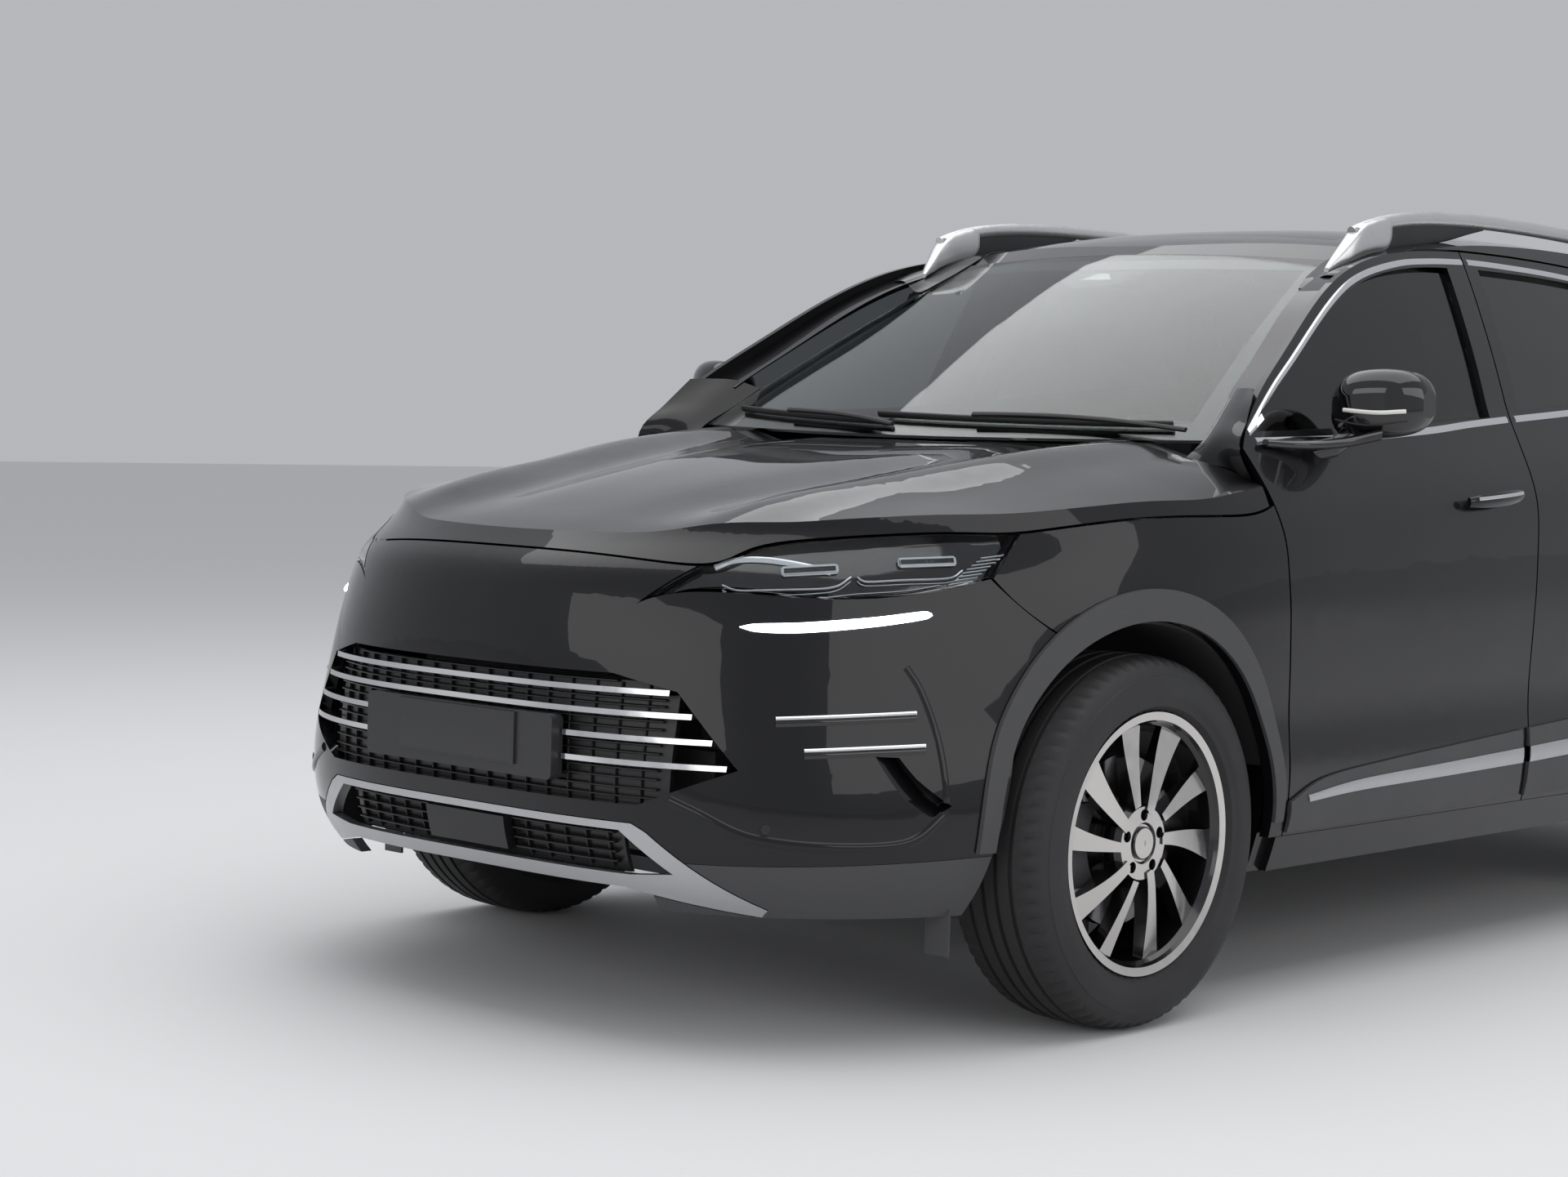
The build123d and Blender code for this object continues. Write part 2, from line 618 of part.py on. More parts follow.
def spoke(angle, sweep_back, wide, root=58):
    """One curved blade, narrow at the hub and wide at the rim, its outer face leaning like a turbine's."""
    stations = []
    for r, drift, half, depth, lean in ((root, 0.0, 0.36 * wide, 42, 0), (118, 0.20, 0.50 * wide, 37, 3),
                                        (180, 0.55, 0.76 * wide, 33, 6), (238, 1.0, 1.08 * wide, 30, 8)):
        shift = sweep_back * drift
        outer = 36 - 9 * ease(60, 238, r)
        stations.append(Wire(Polyline(
            (outer - lean, shift - half, r), (outer, shift + half, r),
            (outer - depth, shift + 0.62 * half, r), (outer - depth, shift - 0.62 * half, r),
            close=True).edges()))
    return Rot(angle, 0, 0) * Solid.make_loft(stations)


def wheel(side, y):
    """Barrel with a machined lip, five pairs of blades, hub, brake disc and centre, outwards to +X."""
    barrel = revolve_x([(-104, 252), (-104, 240), (-96, 226), (84, 226), (92, 232), (100, 236), (103, 252),
                        (97, 252), (96, 244), (84, 236), (-90, 236), (-97, 242), (-98, 252)])
    hub = revolve_x([(48, 0), (48, 78), (76, 78), (88, 70), (89, 40), (84, 36), (84, 0)])
    cap = revolve_x([(80, 0), (80, 32), (89, 32), (91, 29), (91.5, 0)])
    bell = revolve_x([(26, 40), (26, 82), (50, 82), (50, 40)])
    disc = revolve_x([(10, 60), (10, 165), (32, 165), (32, 60)])
    body = barrel + hub + cap + bell + disc
    inside_barrel = Rot(0, 90, 0) * Cylinder(238, 400)
    for i in range(5):
        for blade in (spoke(72 * i - 14, 46, 31), spoke(72 * i + 19, 40, 25, 74)):
            body = body + (Pos(56, 0, 0) * blade & inside_barrel)
    for i in range(5):
        lug = Pos(62, 0, 0) * Rot(72 * i, 0, 0) * Pos(0, 0, 54) * Rot(0, 90, 0) * Cylinder(
            11, 60, align=(Align.CENTER, Align.CENTER, Align.MIN))
        body = body - lug
    placed = Pos(WHEEL_X, y, TYRE_RADIUS) * body
    return placed if side > 0 else right(placed)


KING_LOW = (752.0, 200.0)      # (x, z) of the steering axis at the lower ball joint
KING_TOP = (600.0, 800.0)


def along_king(a, b, radius):
    """A round bar along the steering axis between two heights."""
    def at(z):
        t = (z - KING_LOW[1]) / (KING_TOP[1] - KING_LOW[1])
        return Vector(KING_LOW[0] + t * (KING_TOP[0] - KING_LOW[0]), FRONT_AXLE, z)
    p, q = at(a), at(b)
    return bar(p, q, radius)


def bar(p, q, radius):
    p, q = Vector(*p), Vector(*q)
    line = q - p
    return Plane(origin=p, z_dir=line) * Cylinder(
        radius, line.length, align=(Align.CENTER, Align.CENTER, Align.MIN))


def caliper(y, z, lead):
    """Brake caliper astride the disc, lead degrees round from the top."""
    ring = revolve_x([(-22, 112), (-22, 200), (50, 200), (50, 112)]) & block(-60, 100, -80, 80, 0, 300)
    slot = revolve_x([(4, 100), (4, 174), (38, 174), (38, 100)])
    hub_room = revolve_x([(40, 60), (40, 186), (70, 186), (70, 60)])
    return Pos(WHEEL_X, y, z) * Rot(lead, 0, 0) * (ring - slot - hub_room)


def knuckle():
    """Front upright with its stub, strut foot, steering arm and caliper."""
    carrier = Pos(WHEEL_X - 75, FRONT_AXLE, TYRE_RADIUS) * Rot(0, 90, 0) * Cylinder(
        62, 72, align=(Align.CENTER, Align.CENTER, Align.MIN))
    upright = along_king(206, 560, 25)
    web = block(700, 752, FRONT_AXLE - 30, FRONT_AXLE + 30, 290, 430)
    arm = bar((735, FRONT_AXLE + 20, 330), (715, FRONT_AXLE + 135, 330), 14)
    mount = block(WHEEL_X - 75, WHEEL_X - 15, FRONT_AXLE - 155, FRONT_AXLE - 40, 345, 373)
    return carrier + upright + web + arm + mount + caliper(FRONT_AXLE, TYRE_RADIUS, 90)


def suspension():
    """Struts, lower arms, rear uprights, links and springs, each a separate solid."""
    parts = []
    strut = along_king(568, 800, 25) + along_king(640, 656, 44) + (
        Pos(KING_TOP[0], FRONT_AXLE, 786) * Cylinder(70, 28))
    arm = block(380, 560, FRONT_AXLE - 120, FRONT_AXLE + 170, 178, 192)
    arm = arm + bar((540, FRONT_AXLE, 185), (752, FRONT_AXLE, 180), 16) + (
        Pos(752, FRONT_AXLE, 181) * Cylinder(24, 30))
    frame = block(-380, 380, FRONT_AXLE - 160, FRONT_AXLE + 220, 170, 200)
    parts += [strut, right(strut), arm + frame + right(arm)]
    carrier = Pos(WHEEL_X - 105, REAR_AXLE, TYRE_RADIUS) * Rot(0, 90, 0) * Cylinder(
        60, 105, align=(Align.CENTER, Align.CENTER, Align.MIN))
    carrier = carrier + block(680, 730, REAR_AXLE - 45, REAR_AXLE + 45, 230, 480)
    carrier = carrier + block(WHEEL_X - 80, WHEEL_X - 15, REAR_AXLE + 40, REAR_AXLE + 155, 345, 373)
    carrier = carrier + caliper(REAR_AXLE, TYRE_RADIUS, -90)
    links = block(330, 690, REAR_AXLE - 25, REAR_AXLE + 25, 236, 262)
    links = links + block(330, 690, REAR_AXLE + 70, REAR_AXLE + 95, 250, 300)
    links = links + block(660, 690, REAR_AXLE - 30, REAR_AXLE + 95, 250, 300)
    spring = Pos(430, REAR_AXLE, 262) * Cylinder(56, 60, align=(Align.CENTER, Align.CENTER, Align.MIN))
    damper = bar((640, REAR_AXLE + 60, 290), (600, REAR_AXLE + 120, 640), 24)
    cradle = block(-340, 340, REAR_AXLE - 200, REAR_AXLE + 200, 236, 300)
    rear = carrier + links + spring + damper
    parts += [rear + right(rear) + cradle]
    return parts


def powertrain():
    return block(-380, 60, -1980, -1280, 300, 860) + block(40, 400, -1900, -1290, 290, 700)


def battery():
    return block(-420, 420, -760, 540, 176, 218)


def exhaust():
    pipe = bar((200, 560, 190), (200, 1580, 190), 27) + Pos(200, 1580, 190) * Sphere(27)
    box = Pos(0, 1900, 300) * Box(560, 230, 150)
    link = bar((200, 1580, 190), (200, 1830, 290), 27)
    return pipe + fillet(box.edges(), 30) + link


def radiator():
    return block(-360, 360, -2170, -2110, 330, 800)


# ---------------------------------------------------------------- cabin
def seat_side(y, base, back_lean=24.0, tall=640):
    """Side outline of a seat in runs: cushion and backrest."""
    lean = math.tan(math.radians(back_lean))
    hip = y + 480
    top = base + tall
    back = hip + lean * (tall - 20)
    return [[(y, base + 60), (y + 10, base + 130), (y + 240, base + 118), (hip, base + 96)],
            [(hip, base + 96), (hip + 40, base + 190), (back - 10, top)],
            [(back - 10, top), (back + 45, top + 14), (back + 88, top - 14)],
            [(back + 88, top - 14), (hip + 130, base + 160), (hip + 90, base + 10)],
            [(hip + 90, base + 10), (y + 30, base)], [(y + 30, base), (y, base + 60)]]


def head_rest(x, y, z, wide=250):
    pad = Pos(x, y, z) * Box(wide, 95, 165)
    posts = Pos(x - 60, y + 6, z - 130) * Cylinder(7, 120) + Pos(x + 60, y + 6, z - 130) * Cylinder(7, 120)
    return fillet(pad.edges(), 30) + posts


def seats():
    front = side_prism(*seat_side(-480, 350), x0=120, x1=640)
    front = front + head_rest(380, 352, 1105) + block(180, 580, -420, 60, 256, 360)
    bench = side_prism(*seat_side(430, 456, 22, 570), x0=-640, x1=640)
    for x in (-420, 0, 420):
        bench = bench + head_rest(x, 1172, 1140, 230)
    bench = bench - both(block(480, 700, 860, 1500, 300, 800))
    return [front, right(front), bench]


def dashboard():
    """Facia with its screen, and the console between the seats."""
    face = side_prism([(-990, 870), (-985, 1010), (-900, 1060), (-760, 1046), (-700, 960)],
                      [(-700, 960), (-720, 820), (-800, 700)], [(-800, 700), (-990, 700)],
                      [(-990, 700), (-990, 870)], x0=-745, x1=745)
    console = side_prism([(-760, 256), (-760, 760)], [(-760, 760), (-560, 690), (-200, 620)],
                         [(-200, 620), (180, 600)], [(180, 600), (180, 256)], [(180, 256), (-760, 256)],
                         x0=-100, x1=100)
    console = console - block(-130, 130, -900, 600, 200, 334)
    screen = block(-170, 170, -722, -700, 905, 1105) + block(-60, 60, -760, -715, 960, 1020)
    column = bar((370, -760, 905), (370, -640, 952), 30)
    binnacle = block(245, 495, -770, -748, 1020, 1130)
    return face + console + screen + column + binnacle


WHEEL_TILT = 22.0
STEER_HUB = (370.0, -560.0, 985.0)


def steering_wheel():
    ring = Torus(176, 16)
    hub = Cylinder(52, 42)
    spokes = Box(330, 40, 16) + Pos(0, -85, 0) * Box(44, 170, 16)
    shaft = Pos(0, 0, -46) * Cylinder(22, 60)
    body = ring + hub + spokes + shaft
    return Pos(*STEER_HUB) * Rot(WHEEL_TILT - 90, 0, 0) * body


def cowl():
    """Grille panel between bonnet and windscreen, with the two wiper arms on it."""
    panel = under(hood_height, -1300, -880, 14, -8, 800) & block(-690, 690, -1300, -1045, 900, 1200)
    return keep(panel - hood_plan(GAP) - under(glass_height, -1300, 0, -900, -9.0, 800))


def roof_rails():
    """A round bar each side on two feet."""
    path = Edge.make_spline([Vector(598, -330, 1592), Vector(600, -240, 1618), Vector(603, 0, 1648),
                             Vector(604, 400, 1655), Vector(596, 1000, 1634), Vector(577, 1450, 1592),
                             Vector(566, 1600, 1566)])
    plane = Plane(origin=path.position_at(0), z_dir=path.tangent_at(0))
    rail = sweep(plane * Ellipse(17, 12), path=Wire([path]))
    feet = block(586, 612, -330, -220, 1560, 1606) + block(560, 586, 1440, 1590, 1540, 1580)
    return (rail + feet) - under(roof_height, -470, 2120, 200, 1.0, 800)


def plates():
    holder = Pos(0, NOSE + 4, 537) * Box(524, 28, 120)
    holder = fillet(holder.edges().filter_by(Axis.Y), 12)
    plate = Pos(0, NOSE - 12, 545) * Box(330, 6, 96)
    rear = block(-260, 260, TAIL + 1, TAIL + 15, 560, 672)
    return [holder + plate, rear]


def grille():
    """Dark mesh panels behind the openings, with the sensor cover in the lower one."""
    upper = nose(26, 34) & block(-470, 470, -2500, -2000, 425, 665)
    lower = nose(26, 34) & block(-380, 380, -2500, -2000, 316, 400)
    cover = nose(0, SKIN) & block(-110, 110, -2500, -2200, 330, 392)
    vent_edge = corners([(753, 545), (773, 543), (794, 506), (826, 458), (814, 441), (791, 472)])
    fins = [nose(12, 22) & block(690, 835, -2300, -1700, z - 3, z + 3) & front_prism(*vent_edge)
            for z in range(454, 540, 13)]
    pad = nose(22, 30) & front_prism(*vent_edge)
    vent = pad
    for fin in fins:
        vent = vent + fin
    vent = vent & block(600, 860, -2300, -1860, 400, 600)
    return [upper + lower, cover, both(keep(vent))]


def grille_bars():
    bars = []
    for z, half in ((649, 480), (609, 522), (565, 560), (521, 588)):
        bars.append(nose(0, SKIN) & block(-half + 9, half - 9, -2500, -1900, z - 5, z + 5))
    room = block(-266, 266, -2500, -2300, 474, 600)
    return [bar - room for bar in bars]


def mirror_pod():
    """Housing lofted across four rounded sections, on a two-part foot."""
    sections = []
    for x, y, z, wide, tall in ((852, -752, 1196, 62, 74), (880, -752, 1204, 112, 128),
                                (960, -744, 1212, 122, 142), (1020, -722, 1214, 96, 112),
                                (1040, -712, 1212, 48, 56)):
        outline = Plane(origin=(x, y, z), x_dir=(0, 1, 0), z_dir=(1, 0, 0)) * RectangleRounded(
            wide, tall, 0.42 * min(wide, tall))
        sections.append(outline.face().outer_wire())
    housing = Solid.make_loft(sections)
    glass_room = Pos(966, -676, 1212) * Box(122, 12, 92)
    foot = bar((872, -812, 1116), (912, -758, 1160), 19) + bar((830, -866, 1100), (878, -806, 1120), 21)
    return (housing + foot - glass_room) - side_slab(-1, 300)


def flap(y, z, wide, tall, d=0.0):
    """A filler flap in the rear quarter."""
    opening = Pos(800, y, z) * Box(600, wide + 2 * d, tall + 2 * d)
    return fillet(opening.edges().filter_by(Axis.X), 22)


# ---------------------------------------------------------------- assembly
def filler_flap():
    return tail(0, 26) & flap(FLAP_Y, FLAP_Z, 172, 172)


def lamp_tray():
    back = nose(26, 34) & lamp_outline(2) & block(0, 1000, -2500, -1760, 700, 1100)
    return keep(back - shut_region(-GAP))


def lens():
    return keep((nose(0, 4) & lamp_outline(1)) - shut_region(-GAP))


def gather(*items):
    """Loose solids of one node."""
    solids = []
    for item in items:
        solids += list(item.solids()) if hasattr(item, "solids") else [s for i in item for s in i.solids()]
    return solids[0] if len(solids) == 1 else Compound(children=solids)


def build_parts():
    parts = {}
    side, wing = body_side(), quarter_panel()
    parts["underbody"] = underbody()
    parts["body_side_left"], parts["body_side_right"] = side, right(side)
    parts["quarter_left"], parts["quarter_right"] = wing, right(wing)
    parts["roof_panel"] = roof_panel()
    parts["fixed_glass"] = gather(fixed_glass())
    wing = keep(fender())
    parts["fender_left"], parts["fender_right"] = wing, right(wing)
    parts["front_bumper"] = front_bumper()
    parts["grille_mesh"] = gather(grille())
    parts["grille_bars"] = gather(grille_bars())
    parts["skid_frames"] = gather(lower_frame(), rear_skid())
    clad = gather(arch_trim(FRONT_AXLE), arch_trim(REAR_AXLE), nose_cladding())
    parts["cladding"] = gather(both(clad), tail_cladding())
    parts["headlamp_housings"] = gather(both(lamp_tray()))
    parts["headlamp_lenses"] = gather(both(lens()))
    parts["cowl_panel"] = cowl()
    parts["plate_holders"] = gather(plates())
    parts["rear_bumper"] = rear_bumper()
    parts["tail_lamps"] = gather(both(tail_lamp()))
    parts["roof_rails"] = gather(both(roof_rails()))
    parts["powertrain_block"] = gather(powertrain(), radiator())
    parts["suspension"] = gather(suspension())
    parts["exhaust"] = exhaust()
    parts["battery_pack"] = battery()
    parts["dashboard"] = dashboard()
    parts["seats"] = gather(seats())
    for place, runs, window in (("front", door_front_runs, window_front_runs),
                                ("rear", door_rear_runs, window_rear_runs)):
        leaf, pane = keep(door(runs, window)), keep(door_glass(window))
        parts[f"door_{place}_left"], parts[f"door_{place}_right"] = leaf, right(leaf)
        parts[f"door_glass_{place}_left"], parts[f"door_glass_{place}_right"] = pane, right(pane)
    pod = keep(mirror_pod())
    parts["mirror_left"], parts["mirror_right"] = pod, right(pod)
    parts["bonnet"] = keep(hood())
    parts["tailgate"] = tailgate()
    parts["tailgate_glass"] = keep(tail(8, 13) & tailgate_window())
    upright = knuckle()
    parts["knuckle_left"], parts["knuckle_right"] = upright, right(upright)
    for place, axle in AXLES.items():
        for name, sign in (("left", 1), ("right", -1)):
            parts[f"tyre_{place}_{name}"] = tyre(sign * WHEEL_X, axle)
            parts[f"wheel_{place}_{name}"] = wheel(sign, axle)
    parts["steering_wheel"] = steering_wheel()
    lid = keep(filler_flap())
    parts["fuel_flap"], parts["charge_flap"] = lid, right(lid)
    return parts


os.makedirs("parts", exist_ok=True)
for node, shape in build_parts().items():
    export_step(shape, f"parts/{node}.step")
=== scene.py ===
# %% [markdown]
# # A black plug-in hybrid crossover
# The solid parts of the car arrive from the CAD model with their real sizes. This notebook gives them
# paint, glass, rubber and metal, adds the thin trim that sits on them, and lights a small studio.
# Everything is in metres: +X is the car's left side, -Y its front, +Z up.

# %% Load the fixed frame
import bpy
import bmesh
import math
from mathutils import Matrix, Vector
from mathutils.bvhtree import BVHTree


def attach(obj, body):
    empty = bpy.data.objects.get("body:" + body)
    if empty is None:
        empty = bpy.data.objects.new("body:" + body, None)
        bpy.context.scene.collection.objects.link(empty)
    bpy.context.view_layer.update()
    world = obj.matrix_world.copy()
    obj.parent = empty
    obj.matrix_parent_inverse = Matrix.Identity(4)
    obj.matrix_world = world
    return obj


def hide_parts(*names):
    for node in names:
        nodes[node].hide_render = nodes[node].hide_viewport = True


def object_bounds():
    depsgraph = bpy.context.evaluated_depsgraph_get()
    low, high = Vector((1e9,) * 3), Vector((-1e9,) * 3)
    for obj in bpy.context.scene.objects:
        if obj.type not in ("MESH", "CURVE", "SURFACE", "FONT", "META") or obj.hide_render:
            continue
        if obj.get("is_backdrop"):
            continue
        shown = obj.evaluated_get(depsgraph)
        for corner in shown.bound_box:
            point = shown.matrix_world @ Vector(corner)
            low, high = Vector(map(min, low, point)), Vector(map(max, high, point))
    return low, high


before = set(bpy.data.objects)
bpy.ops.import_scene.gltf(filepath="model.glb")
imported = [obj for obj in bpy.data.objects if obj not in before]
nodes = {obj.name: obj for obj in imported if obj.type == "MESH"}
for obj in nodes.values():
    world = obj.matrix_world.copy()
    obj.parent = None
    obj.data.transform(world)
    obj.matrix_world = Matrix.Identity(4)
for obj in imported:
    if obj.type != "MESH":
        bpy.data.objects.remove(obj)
cad_low, cad_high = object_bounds()
FRONT_AXLE, REAR_AXLE, WHEEL_X, TYRE_R = -1.4575, 1.3075, 0.815, 0.359
print("CAD nodes:", len(nodes))

# %% [markdown]
# ## Shader groups
# Several finishes share small effects. A node group is built once and placed in each material with its
# own numbers. The first is a fine grain, as on moulded plastic and leather; the second is the slight
# unevenness that dust and wiping leave in a glossy surface.


# %% Grain and haze groups
def new_group(name, inputs, outputs):
    """An empty shader group with named float inputs and outputs."""
    group = bpy.data.node_groups.new(name, "ShaderNodeTree")
    for label, value in inputs:
        item = group.interface.new_socket(label, in_out="INPUT", socket_type="NodeSocketFloat")
        item.default_value = value
    for label in outputs:
        group.interface.new_socket(label, in_out="OUTPUT", socket_type="NodeSocketFloat")
    return group, group.nodes.new("NodeGroupInput"), group.nodes.new("NodeGroupOutput")


def set_inputs(node, **values):
    """Give inputs of a node their values; an underscore stands for a space."""
    for label, value in values.items():
        node.inputs[label.replace("_", " ")].default_value = value
    return node


def noise_mask(name, scale, detail, low, high):
    """A group that puts out noise between two values."""
    group, given, out = new_group(name, [("Scale", scale), ("Low", low), ("High", high)], ["Value"])
    place = group.nodes.new("ShaderNodeTexCoord")
    noise = set_inputs(group.nodes.new("ShaderNodeTexNoise"), Detail=detail)
    spread = set_inputs(group.nodes.new("ShaderNodeMapRange"), From_Min=0.3, From_Max=0.7)
    link = group.links.new
    link(place.outputs["Object"], noise.inputs["Vector"])
    link(given.outputs["Scale"], noise.inputs["Scale"])
    link(noise.outputs["Fac"], spread.inputs["Value"])
    link(given.outputs["Low"], spread.inputs["To Min"])
    link(given.outputs["High"], spread.inputs["To Max"])
    link(spread.outputs["Result"], out.inputs["Value"])
    return group


def noise_from(tree, group, scale, low, high):
    """The value that a noise group puts out, placed in a material with its own numbers."""
    node = tree.nodes.new("ShaderNodeGroup")
    node.node_tree = group
    return set_inputs(node, Scale=scale, Low=low, High=high).outputs["Value"]


def color_mix(tree, factor, a, b):
    """Colour a where factor is 0 and b where it is 1; a may come from another node."""
    node = tree.nodes.new("ShaderNodeMix")
    node.data_type = "RGBA"
    set_inputs(node, B=b)
    if isinstance(a, tuple):
        set_inputs(node, A=a)
    else:
        tree.links.new(a, node.inputs["A"])
    tree.links.new(factor, node.inputs["Factor"])
    return node.outputs["Result"]


def new_material(name):
    """A material with its node tree and its one shader."""
    mat = bpy.data.materials.new(name)
    mat.use_nodes = True
    return mat, mat.node_tree, mat.node_tree.nodes["Principled BSDF"]


GRAIN = noise_mask("moulded_grain", 900.0, 3.0, 0.0, 1.0)
HAZE = noise_mask("wiped_haze", 6.0, 5.0, 0.0, 1.0)
print("groups:", GRAIN.name, HAZE.name)

# %% [markdown]
# ## Finishes
# Each finish is one Principled shader. Its roughness comes from the haze group, so reflections are not
# perfectly even, and plastics and leather take a bump from the grain group. Black car paint is a dark
# base under a clear coat; the coat carries nearly all of what the eye sees.


# %% A helper that makes a finish
SLOTS = {}


def finish(name, color, rough=(0.3, 0.35), metal=0.0, coat=0.0, grain=0.0, grain_scale=900.0,
           haze_scale=6.0, transmission=0.0, glow=None, strength=0.0, ior=1.5, slot=None):
    """A Principled material with uneven roughness and, if asked, grain.

    rough is its lowest and highest roughness; slot is the name kept for it in SLOTS, where it has one.
    """
    mat, tree, shader = new_material(name)
    set_inputs(shader, Base_Color=(*color, 1.0), Metallic=metal, IOR=ior, Coat_Weight=coat,
               Coat_Roughness=0.02, Transmission_Weight=transmission)
    if glow:
        set_inputs(shader, Emission_Color=(*glow, 1.0), Emission_Strength=strength)
    tree.links.new(noise_from(tree, HAZE, haze_scale, *rough), shader.inputs["Roughness"])
    if grain:
        bump = set_inputs(tree.nodes.new("ShaderNodeBump"), Strength=grain, Distance=0.0006)
        tree.links.new(noise_from(tree, GRAIN, grain_scale, 0.0, 1.0), bump.inputs["Height"])
        tree.links.new(bump.outputs["Normal"], shader.inputs["Normal"])
    mat.diffuse_color = (*color, 1.0)
    SLOTS[mat.name] = slot
    return mat


paint = finish("black_paint", (0.004, 0.004, 0.005), (0.30, 0.38), coat=1.0, haze_scale=3.0,
               slot="paint_black")
set_inputs(paint.node_tree.nodes["Principled BSDF"], Specular_IOR_Level=0.12, Coat_IOR=1.38)
cladding = finish("cladding_plastic", (0.055, 0.055, 0.058), (0.48, 0.60), grain=0.45, slot="cladding_grey")
dark = finish("dark_plastic", (0.012, 0.012, 0.013), (0.40, 0.55), grain=0.3, slot="dark_plastic")
mesh_black = finish("grille_black", (0.010, 0.010, 0.011), (0.25, 0.40), grain=0.1, slot="dark_plastic")
piano = finish("piano_black", (0.005, 0.005, 0.006), (0.05, 0.12), coat=0.6, slot="gloss_black")
frit = finish("ceramic_border", (0.004, 0.004, 0.004), (0.10, 0.16), slot="gloss_black")
display = finish("display_glass", (0.004, 0.005, 0.008), (0.04, 0.1), coat=0.7, slot="gloss_black")
bare_plate = finish("blank_plate", (0.030, 0.030, 0.032), (0.25, 0.35), grain=0.15)
satin = finish("satin_silver", (0.50, 0.50, 0.51), (0.30, 0.42), metal=0.9, haze_scale=20.0,
               slot="satin_silver")
rail_silver = finish("rail_silver", (0.66, 0.66, 0.66), (0.26, 0.36), metal=0.9, haze_scale=14.0,
                     slot="satin_silver")
chrome = finish("bright_chrome", (0.80, 0.80, 0.81), (0.07, 0.16), metal=1.0, haze_scale=30.0,
                slot="bright_chrome")
steel = finish("disc_steel", (0.38, 0.38, 0.39), (0.22, 0.34), metal=1.0, haze_scale=60.0,
               slot="bright_chrome")
cast = finish("cast_metal", (0.10, 0.10, 0.105), (0.45, 0.65), metal=0.7, grain=0.7, grain_scale=350.0,
              slot="cast_metal")
tint = finish("tinted_glass", (0.12, 0.13, 0.13), (0.0, 0.0), transmission=1.0)
privacy = finish("privacy_glass", (0.02, 0.021, 0.021), (0.01, 0.04), transmission=0.8, coat=0.3)
lens = finish("lamp_lens", (0.93, 0.95, 0.96), (0.0, 0.0), transmission=1.0, ior=1.15, slot="clear_glass")
white_glow = finish("running_light", (0.9, 0.95, 1.0), (0.2, 0.3), glow=(0.82, 0.92, 1.0), strength=6.0,
                    slot="clear_glass")
guide = finish("light_guide", (0.75, 0.78, 0.8), (0.08, 0.15), metal=0.6, slot="bright_chrome")
lamp_red = finish("rear_lamp_red", (0.22, 0.004, 0.006), (0.06, 0.12), coat=0.8, slot="lamp_red")
signal_lens = finish("indicator_lens", (0.75, 0.74, 0.70), (0.1, 0.2), coat=0.5, slot="clear_glass")
underseal = finish("underseal", (0.018, 0.018, 0.018), (0.7, 0.85), grain=0.6, grain_scale=220.0)
leather = finish("seat_leather", (0.022, 0.020, 0.020), (0.42, 0.55), grain=0.8, grain_scale=420.0,
                 slot="seat_leather")
soft = finish("soft_facia", (0.018, 0.018, 0.020), (0.5, 0.65), grain=0.6, grain_scale=600.0)
print("finishes:", len(bpy.data.materials))

# %% [markdown]
# ## Finish the CAD nodes
# Each solid keeps its mesh and only gets a material. The wheels are one solid with three finishes on
# it, so their material looks at where a point lies: the outward faces are machined bright, the sides
# of the spokes are gloss black, and the disc behind is bare steel.


# %% Wheel finish
FACE_TURN, FACE_X, DISC_X = 0.86, 0.878, 0.848


def wheel_material():
    """Machined bright where a point faces outwards beyond FACE_X, bare steel inside DISC_X, else black."""
    mat, tree, shader = new_material("two_tone_wheel")
    set_inputs(shader, Coat_Weight=0.5, Coat_Roughness=0.05)
    link = tree.links.new
    place = tree.nodes.new("ShaderNodeTexCoord")
    split_n = tree.nodes.new("ShaderNodeSeparateXYZ")
    split_p = tree.nodes.new("ShaderNodeSeparateXYZ")
    link(place.outputs["Normal"], split_n.inputs[0])
    link(place.outputs["Object"], split_p.inputs[0])

    def math_node(kind, a, b=None):
        node = tree.nodes.new("ShaderNodeMath")
        node.operation = kind
        for socket, value in zip(node.inputs, (a, b)):
            if value is None:
                continue
            if isinstance(value, (int, float)):
                socket.default_value = value
            else:
                link(value, socket)
        return node.outputs[0]

    facing = math_node("GREATER_THAN", math_node("ABSOLUTE", split_n.outputs[0]), FACE_TURN)
    out_x = math_node("ABSOLUTE", split_p.outputs[0])
    outer = math_node("GREATER_THAN", out_x, FACE_X)
    face = math_node("MULTIPLY", facing, outer)
    inner = math_node("LESS_THAN", out_x, DISC_X)
    link(noise_from(tree, HAZE, 40.0, 0.16, 0.26), shader.inputs["Roughness"])
    rim = color_mix(tree, face, (0.006, 0.006, 0.007, 1), (0.62, 0.60, 0.58, 1))
    link(color_mix(tree, inner, rim, (0.14, 0.14, 0.145, 1)), shader.inputs["Base Color"])
    link(math_node("MAXIMUM", face, inner), shader.inputs["Metallic"])
    return mat


two_tone = wheel_material()

# %% [markdown]
# One node holds the windscreen, the roof glass and the quarter panes. The roof and the rear panes are
# tinted, so the glass looks at how far back a point lies.


# %% Glass with a tinted roof
ROOF_GLASS_FROM = -0.338


